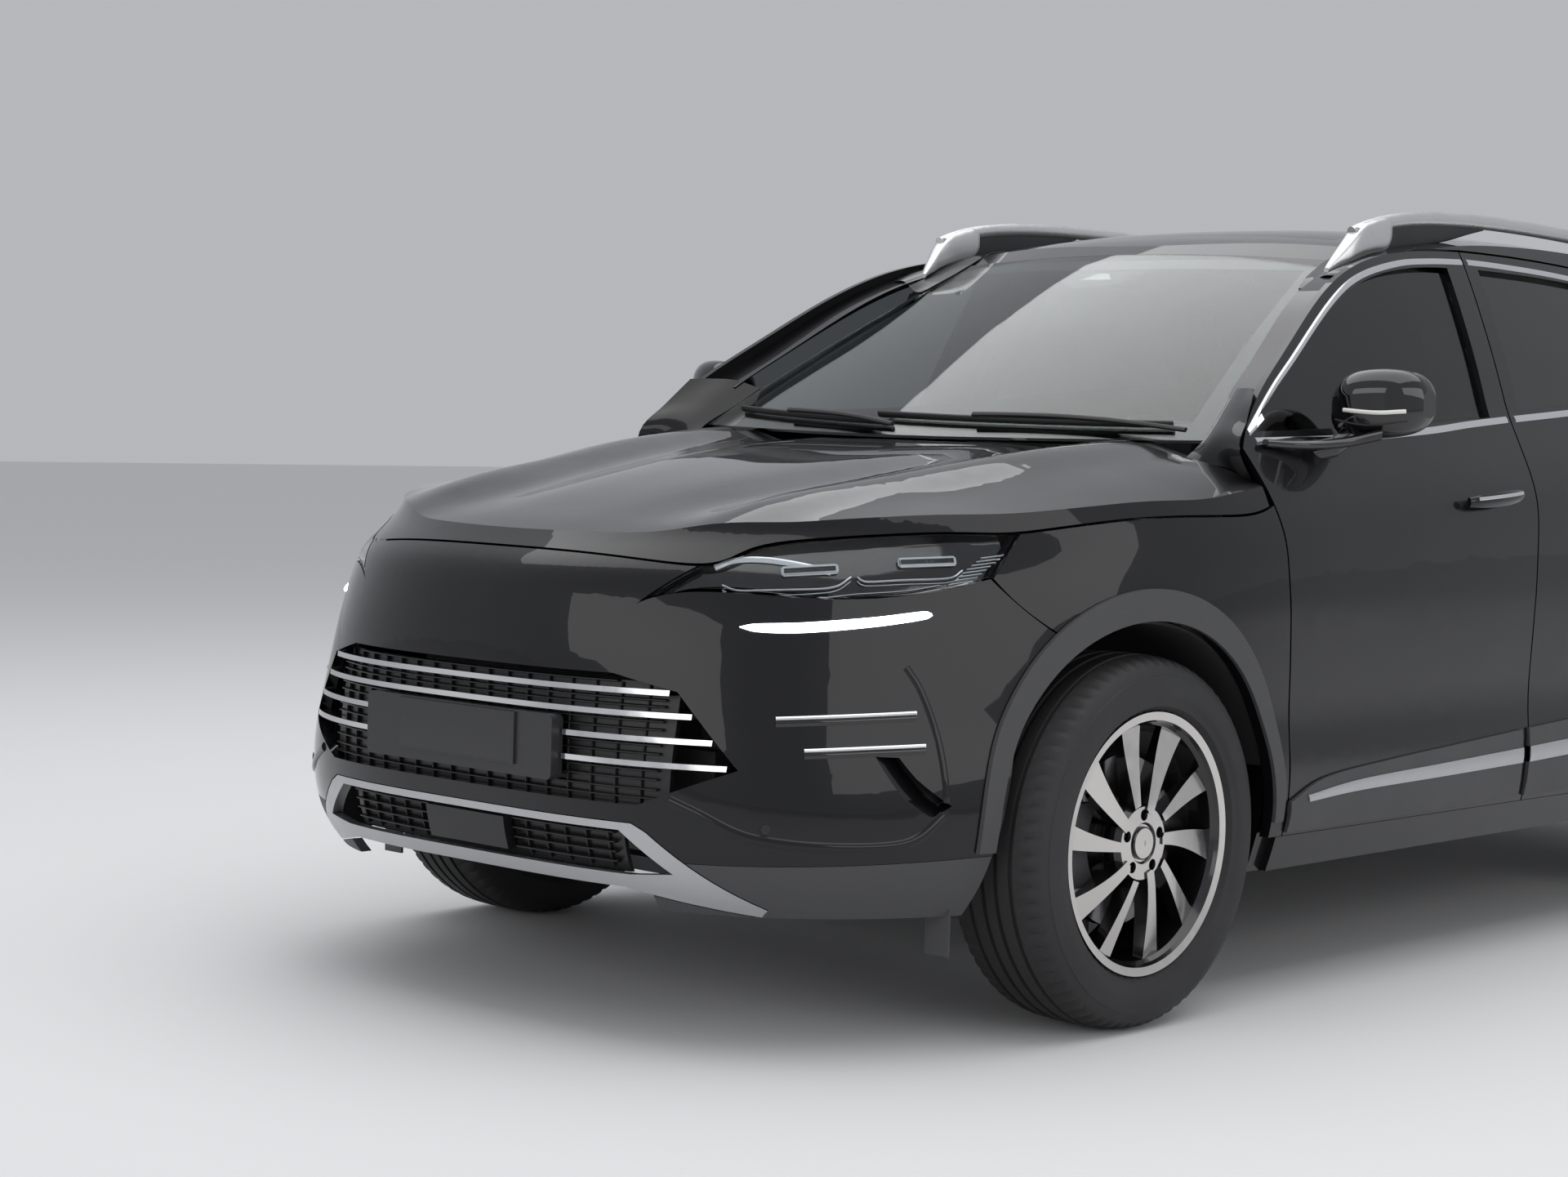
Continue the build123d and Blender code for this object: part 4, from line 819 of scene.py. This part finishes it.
# Of each wiper: where its blade starts and ends (x, and how far up the glass), and the reach of its arm.
WIPERS = (("driver", (0.62, -0.12), (0.055, 0.085), 0.05),
          ("passenger", (-0.06, -0.62), (0.050, 0.075), 0.03))
for side, xs, ups, reach in WIPERS:
    path = [screen_point(x / 0.7, v) for x, v in zip(spread(*xs, 9), spread(*ups, 9))]
    laid_rod(f"wiper_blade_{side}", glass_tree, path, LOOKING_IN, (0.006, 0.008), dark,
             lift=0.009, count=30)
    arm = [path[0] + Vector((reach, -0.03, 0.0)), path[2], path[5]]
    laid_rod(f"wiper_arm_{side}", glass_tree, arm, LOOKING_IN, (0.007, 0.005), dark, lift=0.020, count=20)
print("windscreen details done")

# %% [markdown]
# ## Wheel nuts
# Five nuts sit in the recesses round the hub of each wheel.

# %% Wheel nuts
NUTS, NUT_CIRCLE = 5, 0.054
# Each nut is a hexagon with a small round end: radius, depth, distance from the car's middle, sides.
NUT_STEPS = ((0.0088, 0.016, 0.8825, 6), (0.0062, 0.004, 0.892, 14))
for place, axle in AXLES:
    for side, sign in SIDES:
        bm = bmesh.new()
        for i in range(NUTS):
            a = 2 * math.pi * i / NUTS
            for r, depth, x, sides in NUT_STEPS:
                nut = bmesh.ops.create_cone(bm, cap_ends=True, segments=sides, radius1=r, radius2=r * 0.92,
                                            depth=depth)
                spot = Matrix.Translation((sign * x, axle - NUT_CIRCLE * math.sin(a),
                                           TYRE_R + NUT_CIRCLE * math.cos(a)))
                turn = Matrix.Rotation(math.radians(90) * sign, 4, "Y")
                bmesh.ops.transform(bm, matrix=spot @ turn, verts=nut["verts"])
        put(f"wheel_nuts_{place}_{side}", mesh_of(bm, f"nuts_{place}_{side}"), steel,
            f"wheel_{place}_{side}", slot="satin_silver")
print("wheel nuts done")

# %% [markdown]
# ## Tail light bar
# A red bar joins the rear lamps across the tailgate. Its face is ribbed, which is what makes such a bar
# glow evenly.

# %% Tail light bar
tail_tree = skin("tailgate", "tail_lamps", "quarter_left", "quarter_right")
back = (0, -1, 0)
strip("tail_bar", tail_tree, [(-0.640, 2.3, 0.868), (0, 2.4, 0.868), (0.640, 2.3, 0.868)],
      [(-0.640, 2.3, 0.950), (0, 2.4, 0.950), (0.640, 2.3, 0.950)], back, 0.006, lamp_red, "tailgate",
      count=60, crown=0.003)
for k, z in enumerate((0.885, 0.909, 0.933)):
    laid_rod(f"tail_bar_rib_{k}", tail_tree, [(-0.630, 2.3, z), (0, 2.4, z), (0.630, 2.3, z)], back,
             (0.004, 0.003), lamp_red, "tailgate", lift=0.010, count=50)
print("tail bar done")

# %% [markdown]
# ## Seats
# A seat is foam under leather: the middle panels are crowned, the sides rise into bolsters and seams
# pull the cover in. Each piece is lofted along a spine from crowned sections, with narrow grooves where
# the panels are sewn together.


# %% Padded pieces lofted along a spine
SEAT_FILL, SEAM_DEPTH, SEAM_WIDTH, CROSS_SEAMS, CROSS_WIDTH = 0.8, 0.006, 0.035, (0.3, 0.62), 0.018
BOLSTER_FROM, BOXY = 0.62, 3.2


def pad_loft(name, x_mid, spine, half_widths, half_thick, channels=(), bolster=0.0, rows=26, around=40):
    """A crowned pad; spine is a row of (y, z), widths and thicknesses go with it.

    channels says where seams run along it, as shares of its half width; bolster is how far its sides rise.
    """
    line = smooth_line([(0.0, y, z) for y, z in spine], rows)
    verts = []
    for i, (p, ahead) in enumerate(with_heading(line)):
        t = i / (rows - 1)
        k = t * (len(half_widths) - 1)
        j = min(int(k), len(half_widths) - 2)
        w = half_widths[j] + (half_widths[j + 1] - half_widths[j]) * (k - j)
        h = half_thick[j] + (half_thick[j + 1] - half_thick[j]) * (k - j)
        end = min(1.0, math.sin(math.pi * min(t, 1 - t) * 5.0) if min(t, 1 - t) < 0.1 else 1.0)
        shrink = 0.55 + 0.45 * end
        up_dir = Vector((1, 0, 0)).cross(ahead)
        for c, d in circle(around):
            r = (abs(c) ** BOXY + abs(d) ** BOXY) ** (-1 / BOXY)
            u, v = r * c, r * d
            side_rise = max(0.0, (abs(u) - BOLSTER_FROM) / (1 - BOLSTER_FROM)) ** 1.5
            lift = bolster * side_rise * (1 if v > 0 else 0) * end
            pull = sum(math.exp(-((u - cu) / SEAM_WIDTH) ** 2) for cu in channels if v > 0.2)
            cross = sum(math.exp(-((t - ct) / CROSS_WIDTH) ** 2) for ct in CROSS_SEAMS
                        if v > 0.2 and abs(u) < BOLSTER_FROM)
            seam = SEAM_DEPTH * min(1.0, pull + 0.7 * cross)
            height = v * h * (shrink + 0.10 * (1 - u * u)) + lift - seam
            verts.append(p + Vector((x_mid + u * w * (0.90 + 0.10 * end), 0, 0)) + up_dir * height)
    obj = add_mesh(name, verts, tube_faces(rows, around), leather)
    return obj


# %% Front seats and bench
def head_rest(name, x, spine, half_widths):
    """A short plain pad."""
    return pad_loft(name, x, spine, half_widths, [0.036, 0.045, 0.036], rows=14, around=28)


seat_pieces = []
for side, sign in SIDES:
    x = sign * 0.380
    seat_pieces += [
        pad_loft(f"seat_cushion_{side}", x, [(-0.478, 0.425), (-0.25, 0.425), (0.02, 0.405)],
                 [0.235, 0.252, 0.250], [0.050, 0.056, 0.055], (-0.55, 0.55), 0.014),
        pad_loft(f"seat_back_{side}", x, [(0.330, 0.975), (0.240, 0.78), (0.125, 0.56), (0.075, 0.43)],
                 [0.205, 0.245, 0.252, 0.240], [0.048, 0.062, 0.070, 0.060], (-0.52, 0.52), 0.016),
        head_rest(f"seat_head_{side}", x, [(0.352, 1.180), (0.352, 1.030)], [0.112, 0.124, 0.112])]
for k, (x, w) in enumerate(((-0.425, 0.205), (0.0, 0.200), (0.425, 0.205))):
    seat_pieces += [
        pad_loft(f"bench_cushion_{k}", x, [(0.436, 0.522), (0.66, 0.524), (0.93, 0.506)],
                 [w - 0.01, w, w - 0.002], [0.054, 0.060, 0.056], (-0.6, 0.6), 0.006),
        pad_loft(f"bench_back_{k}", x, [(1.160, 1.010), (1.090, 0.84), (1.000, 0.66), (0.965, 0.56)],
                 [w - 0.02, w, w, w - 0.01], [0.044, 0.054, 0.058, 0.050], (-0.6, 0.6), 0.006)]
for k, x in enumerate((-0.42, 0.0, 0.42)):
    seat_pieces.append(head_rest(f"bench_head_{k}", x, [(1.172, 1.215), (1.172, 1.068)],
                                 [0.104, 0.114, 0.104]))
for side, sign in SIDES:
    x = sign * 0.380
    seat_pieces.append(upright_box(f"seat_base_{side}", (x, -0.18, 0.310), (0.40, 0.48, 0.105), dark,
                                   0.015))
    for label, post in (("a", x - 0.06), ("b", x + 0.06)):
        seat_pieces.append(rounded_bar(f"head_post_{side}_{label}",
                                       [(post, 0.345, 0.95), (post, 0.358, 1.06)],
                                       (0.006, 0.006), steel, around=10))
for piece in seat_pieces:
    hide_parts("seats")
print("seat pieces:", len(seat_pieces))

# %% [markdown]
# ## Small pieces round the body
# The quarter window carries on the bright frame, the mirrors have a turn signal in their edge, the
# plates are plain blanks, a screen stands on the facia, and a low fin on the roof holds the aerial. A
# bright brow runs along the top of each headlamp.

# %% Quarter strips, repeaters, plates, aerial
LAMP_TOP = [(0.470, 0.880), (0.521, 0.910), (0.595, 0.930), (0.685, 0.942), (0.751, 0.947)]
QUARTER_TOP = [(1.075, 1.462), (1.20, 1.441), (1.35, 1.412), (1.48, 1.380), (1.575, 1.346)]
QUARTER_LOW = [(1.110, 1.287), (1.25, 1.297), (1.40, 1.310), (1.50, 1.321), (1.575, 1.334)]
for side, sign in SIDES:
    into = (-sign, 0, 0)
    tree = skin(f"quarter_{side}", f"body_side_{side}")
    for label, line in (("top", QUARTER_TOP), ("low", QUARTER_LOW)):
        strip(f"quarter_strip_{label}_{side}", tree, side_points([(y, z - 0.012) for y, z in line], sign),
              side_points(line, sign), into, STRIP_PROUD, chrome, crown=0.002, count=24)
    mirror = skin(f"mirror_{side}")
    repeater = [(sign * 0.90, -0.9, 1.196), (sign * 0.97, -0.9, 1.192), (sign * 1.020, -0.9, 1.196)]
    laid_rod(f"repeater_{side}", mirror, repeater, (0, 1, 0), (0.0045, 0.004), signal_lens,
             f"door_front_{side}", lift=0.0005, count=20)
    seam = [(sign * 0.875, -0.9, 1.176), (sign * 0.95, -0.9, 1.166), (sign * 1.020, -0.9, 1.176)]
    laid_rod(f"mirror_seam_{side}", mirror, seam, (0, 1, 0), (0.0022, 0.002), dark, f"door_front_{side}",
             count=20)
upright_box("front_plate", (0, -2.4008, 0.545), (0.322, 0.0035, 0.090), piano, 0.004)
upright_box("rear_plate", (0, 2.4008, 0.616), (0.502, 0.0035, 0.106), piano, 0.004)
roof_tree = skin("roof_panel", "fixed_glass", "tailgate")
foot = drop(roof_tree, [(0.0, 1.60, 1.7)], (0, 0, -1), 0.0)[0]
verts = []
rows, ring = 9, 16
for i in range(rows):
    t = i / (rows - 1)
    length, width, height = 0.085 * (1 - 0.62 * t), 0.030 * (1 - 0.72 * t ** 0.8), 0.052 * t ** 0.85 - 0.006
    verts += [foot + Vector((width * s, length * c + 0.045 * t, height)) for c, s in circle(ring)]
add_mesh("aerial_fin", verts, tube_faces(rows, ring), paint)
upright_box("middle_screen", (0, -0.6985, 1.005), (0.328, 0.004, 0.188), display, 0.0015)
for side, sign in SIDES:
    flip = flip_for(sign)
    laid_rod(f"lamp_brow_{side}", tray_tree, flip([(x, -2.2, z - 0.010) for x, z in LAMP_TOP]),
             (-sign * 0.62, 0.70, -0.35), (0.006, 0.003), guide, lift=0.004)
print("small pieces done")

# %% [markdown]
# ### Rear details
# A wiper, a stop lamp under the spoiler, reflectors low in the bumper, ribs in the lamps and a grip over
# the plate. A rounded edge also runs down each front corner of the bumper, ahead of the wheel.

# %% Rear details and bumper edges
BUMPER_EDGE = [(0.745, -1.990, 0.705), (0.768, -1.970, 0.66), (0.797, -1.952, 0.58),
               (0.817, -1.948, 0.50), (0.826, -1.950, 0.446)]
glass_back = skin("tailgate_glass")
laid_rod("rear_wiper_blade", glass_back, [(-0.02, 2.3, 1.110), (0.14, 2.3, 1.122), (0.30, 2.3, 1.142)], back,
         (0.006, 0.006), dark, "tailgate", lift=0.008, count=24)
laid_rod("rear_wiper_arm", glass_back, [(-0.01, 2.3, 1.088), (0.08, 2.3, 1.104), (0.16, 2.3, 1.122)], back,
         (0.009, 0.005), dark, "tailgate", lift=0.012, count=16)
gate_tree = skin("tailgate")
laid_rod("stop_lamp", gate_tree, [(-0.16, 2.3, 1.545), (0, 2.3, 1.547), (0.16, 2.3, 1.545)], back,
         (0.006, 0.004), lamp_red, "tailgate", count=16)
laid_rod("tailgate_grip", gate_tree, [(-0.17, 2.3, 0.790), (0, 2.4, 0.790), (0.17, 2.3, 0.790)], back,
         (0.011, 0.006), dark, "tailgate", count=20)
rear_tree = skin("rear_bumper")
lamp_side = skin("tail_lamps")
for side, sign in SIDES:
    flip = flip_for(sign)
    laid_rod(f"reflector_{side}", rear_tree,
             flip([(0.52, 2.3, 0.468), (0.60, 2.3, 0.470), (0.68, 2.3, 0.476)]),
             back, (0.011, 0.003), lamp_red, count=20)
    for k, z in enumerate((0.882, 0.909, 0.936)):
        laid_rod(f"tail_rib_{k}_{side}", lamp_side,
                 flip([(0.668, 2.3, z), (0.70, 2.3, z), (0.75, 2.2, z)]),
                 back, (0.005, 0.003), lamp_red, lift=0.0005, count=14)
    laid_rod(f"bumper_edge_{side}", bumper_tree, flip(BUMPER_EDGE), (-sign * 0.93, 0.37, 0.0),
             (0.007, 0.004), paint, lift=-0.0005, around=12)
print("rear details done")

# %% [markdown]
# ## Foot of the windscreen pillar
# Between the rear edge of the bonnet, the corner of the windscreen and the front edge of the door a
# painted cover closes the body. It stands clear of the door, which swings out past it. An arm carries
# the mirror on the door.


# %% Pillar foot covers and mirror arms
def side_patch(name, rows, sign, across, down, under):
    """A thin painted cover smoothed through rows of points, its back lying under it by a vector."""
    lines = [smooth_line(row, across) for row in rows]
    columns = [smooth_line([line[j] for line in lines], down) for j in range(across)]
    grid = [[Vector((sign * p.x, p.y, p.z)) for p in (column[i] for column in columns)]
            for i in range(down)]
    verts, faces = shell_between(grid, [[Vector(under)] * across] * down)
    return add_mesh(name, verts, faces, paint)


FOOT_ROWS = [[(0.700, -1.097, 1.078), (0.760, -1.090, 1.068), (0.825, -1.083, 1.049), (0.894, -1.079, 1.006)],
             [(0.711, -1.036, 1.124), (0.745, -1.064, 1.126), (0.803, -1.089, 1.121), (0.853, -1.112, 1.105)],
             [(0.690, -0.956, 1.171), (0.730, -0.998, 1.180), (0.785, -1.030, 1.178), (0.829, -1.056, 1.168)],
             [(0.673, -0.890, 1.214), (0.716, -0.931, 1.232), (0.768, -0.964, 1.234), (0.803, -0.996, 1.232)]]
ARM_STEPS, ARM_AROUND = 18, 14
MIRROR_ARM = [(0.858, -1.030, 1.124), (0.872, -0.955, 1.122), (0.892, -0.880, 1.124), (0.925, -0.822, 1.132),
              (0.975, -0.785, 1.148)]
for side, sign in SIDES:
    side_patch(f"pillar_foot_{side}", FOOT_ROWS, sign, 13, 17, (0, 0.002, -0.002))
    path = smooth_line([(sign * x, y, z) for x, y, z in MIRROR_ARM], ARM_STEPS)
    verts = []
    for t, (p, ahead) in zip(spread(0, 1, ARM_STEPS), with_heading(path)):
        level = ahead.cross(Vector((0, 0, 1))).normalized()
        wide, tall = 0.010 + 0.012 * t, 0.008 + 0.004 * t
        verts += [p + level * wide * c + Vector((0, 0, tall * s)) for c, s in circle(ARM_AROUND)]
    add_mesh(f"mirror_arm_{side}", verts, tube_faces(ARM_STEPS, ARM_AROUND), piano, f"door_front_{side}")
print("pillar feet done")

# %% [markdown]
# ## Roof edge and rail ends
# A painted cover closes the body between the windscreen corner, the roof and the top of the front door.
# Each rail ends in a claw that bends down to the roof, with a dark web filling the space behind it.

# %% Roof edge covers, rail claws and webs
EDGE_ROWS = [
    [(0.545, -0.455, 1.4655), (0.572, -0.455, 1.4670), (0.604, -0.455, 1.4915), (0.640, -0.455, 1.4930)],
    [(0.532, -0.410, 1.4895), (0.570, -0.410, 1.4950), (0.606, -0.410, 1.5080), (0.640, -0.410, 1.5095)],
    [(0.526, -0.370, 1.5085), (0.570, -0.370, 1.5140), (0.608, -0.370, 1.5220), (0.640, -0.370, 1.5220)],
    [(0.522, -0.310, 1.5365), (0.570, -0.310, 1.5400), (0.610, -0.310, 1.5410), (0.638, -0.310, 1.5365)],
    [(0.532, -0.250, 1.5590), (0.572, -0.250, 1.5600), (0.610, -0.250, 1.5550), (0.636, -0.250, 1.5460)],
    [(0.548, -0.190, 1.5765), (0.580, -0.190, 1.5735), (0.610, -0.190, 1.5670), (0.634, -0.190, 1.5560)],
    [(0.565, -0.110, 1.5870), (0.588, -0.110, 1.5835), (0.610, -0.110, 1.5795), (0.630, -0.110, 1.5760)]]
# Sections along the rail: y, middle x, foot z, top z, half width.
CLAW = [(-0.406, 0.584, 1.502, 1.513, 0.006), (-0.390, 0.588, 1.510, 1.545, 0.0125),
        (-0.366, 0.593, 1.518, 1.586, 0.0180), (-0.341, 0.598, 1.528, 1.6125, 0.0205),
        (-0.300, 0.599, 1.540, 1.6240, 0.0205), (-0.260, 0.600, 1.550, 1.6325, 0.0198),
        (-0.215, 0.6005, 1.558, 1.6390, 0.0185), (-0.185, 0.601, 1.580, 1.6330, 0.0120)]
WEB = [(-0.225, 0.600, 1.556, 1.615, 0.005), (-0.150, 0.601, 1.570, 1.625, 0.005),
       (-0.050, 0.602, 1.583, 1.635, 0.005), (0.060, 0.603, 1.600, 1.640, 0.005),
       (0.160, 0.603, 1.622, 1.641, 0.004), (0.230, 0.603, 1.636, 1.641, 0.003)]


def bar_of(name, rows, mat, sign):
    """A bar through upright sections of rounded-square form."""
    around, square = 20, 0.55
    line = smooth_line([(x, y, low) for y, x, low, _, _ in rows], 30)
    crest = smooth_line([(half, y, high) for y, _, _, high, half in rows], 30)
    verts = []
    for foot, top in zip(line, crest):
        mid, tall = (foot.z + top.z) / 2, (top.z - foot.z) / 2
        verts += [Vector((sign * (foot.x + top.x * math.copysign(abs(c) ** square, c)), foot.y,
                          mid + tall * math.copysign(abs(s) ** square, s))) for c, s in circle(around, 0.5)]
    return add_mesh(name, verts, tube_faces(len(line), around), mat)


for side, sign in SIDES:
    side_patch(f"roof_edge_{side}", EDGE_ROWS, sign, 11, 25, (0, 0.001, -0.002))
    bar_of(f"rail_claw_{side}", CLAW, rail_silver, sign)
    bar_of(f"rail_web_{side}", WEB, dark, sign)
print("roof edges done")

# %% [markdown]
# ## Under the bonnet
# The engine and motor block gets a ribbed cover, the power electronics a finned lid, and thick orange
# leads run from it to the bulkhead, as they do on any car with a high-voltage battery. A pale tank and a
# small battery stand beside them.

# %% Engine cover, electronics, leads and tank
lead_orange = finish("lead_orange", (0.80, 0.20, 0.02), (0.35, 0.45))
tank_white = finish("tank_plastic", (0.62, 0.61, 0.56), (0.30, 0.40), coat=0.2)
BAY = [("engine_cover", (-0.160, -1.640, 0.871), (0.400, 0.600, 0.030), dark, 0.010),
       ("engine_cover_panel", (-0.160, -1.640, 0.888), (0.250, 0.460, 0.008), piano, 0.003),
       ("inverter_lid", (0.220, -1.600, 0.716), (0.310, 0.480, 0.036), cast, 0.008),
       ("service_battery", (-0.505, -1.720, 0.750), (0.170, 0.230, 0.170), dark, 0.006),
       ("coolant_tank", (0.500, -1.740, 0.770), (0.150, 0.200, 0.120), tank_white, 0.022),
       ("coolant_cap", (0.500, -1.690, 0.840), (0.052, 0.052, 0.030), dark, 0.008)]
RIBS, RIB_GAP, LID_FINS, FIN_GAP, LEADS, LEAD_GAP = 6, 0.064, 9, 0.047, 3, 0.036
for name, center, size, mat, bevel in BAY:
    upright_box(name, center, size, mat, bevel)
for k in range(RIBS):
    upright_box(f"engine_cover_rib_{k}", (-0.320 + RIB_GAP * k, -1.640, 0.889), (0.010, 0.540, 0.010), dark,
                0.002)
for k in range(LID_FINS):
    upright_box(f"inverter_fin_{k}", (0.220, -1.790 + FIN_GAP * k, 0.738), (0.260, 0.008, 0.014), cast,
                0.002)
for k in range(LEADS):
    x = 0.270 + LEAD_GAP * k
    lead = [(x, -1.420, 0.735), (x, -1.380, 0.790), (x + 0.004, -1.310, 0.812), (x + 0.006, -1.240, 0.800),
            (x + 0.006, -1.180, 0.770)]
    rounded_bar(f"power_lead_{k}", lead, (0.010, 0.010), lead_orange)
print("bay dressing done")

# %% [markdown]
# ## Studio
# A soft, even light with a large overhead panel and two side panels gives black paint long clean
# reflections. The floor is pale and matt.


# %% Floor and light
def area(name, place, target, size, power):
    """A rectangular lamp at place, turned towards target."""
    light = bpy.data.lights.new(name, "AREA")
    light.shape = "RECTANGLE"
    light.size, light.size_y = size
    light.energy = power
    obj = bpy.data.objects.new(name, light)
    obj.location = place
    obj.rotation_euler = (Vector(target) - Vector(place)).to_track_quat("-Z", "Y").to_euler()
    bpy.context.scene.collection.objects.link(obj)
    return obj


floor_finish, _, floor_shader = new_material("studio_floor")
set_inputs(floor_shader, Base_Color=(0.78, 0.78, 0.78, 1), Roughness=0.75)
REACH = 40
floor_mesh = bpy.data.meshes.new("floor")
floor_mesh.from_pydata([(-REACH, -REACH, 0), (REACH, -REACH, 0), (REACH, REACH, 0), (-REACH, REACH, 0)], [],
                       [[0, 1, 2, 3]])
floor_mesh.materials.append(floor_finish)
floor = bpy.data.objects.new("floor", floor_mesh)
bpy.context.scene.collection.objects.link(floor)
floor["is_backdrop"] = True
area("overhead", (0, 0, 6.0), (0, 0, 0), (10.0, 8.0), 330)
area("left_panel", (9.0, -1.0, 3.4), (0, 0, 0.8), (10.0, 3.6), 150)
area("front_panel", (0.5, -10.0, 3.2), (0, 0, 0.7), (8.0, 3.4), 120)
world = bpy.data.worlds.new("studio")
bpy.context.scene.world = world
world.use_nodes = True
set_inputs(world.node_tree.nodes["Background"], Color=(0.93, 0.95, 1.0, 1), Strength=0.5)
bpy.context.scene.view_settings.view_transform = "Standard"

# %% [markdown]
# ## Camera
# A camera at eye height on the car's front left corner, fairly far off with a longer lens, keeps the
# proportions of the car natural.

# %% Camera
CAMERA_PLACE = (4.166, -5.990, 1.145)
YAW, PITCH, ROLL = 0.749, -0.058, 0.030
ahead = Vector((-math.sin(YAW) * math.cos(PITCH), math.cos(YAW) * math.cos(PITCH), math.sin(PITCH)))
right = ahead.cross(Vector((0, 0, 1))).normalized()
up = right.cross(ahead)
turned_right = math.cos(ROLL) * right + math.sin(ROLL) * up
turned_up = -math.sin(ROLL) * right + math.cos(ROLL) * up
camera_data = bpy.data.cameras.new("camera")
camera_data.sensor_width = 36.0
camera_data.lens = 67.37
camera = bpy.data.objects.new("camera", camera_data)
turn = Matrix((turned_right, turned_up, -ahead)).transposed().to_4x4()
camera.matrix_world = Matrix.Translation(CAMERA_PLACE) @ turn
bpy.context.scene.collection.objects.link(camera)
bpy.context.scene.camera = camera

# %% Sizes and finish
low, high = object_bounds()
sizes = {"cad": [list(cad_low), list(cad_high)], "scene": [list(low), list(high)]}
print("size in metres:", [round(h - l, 3) for l, h in zip(low, high)])
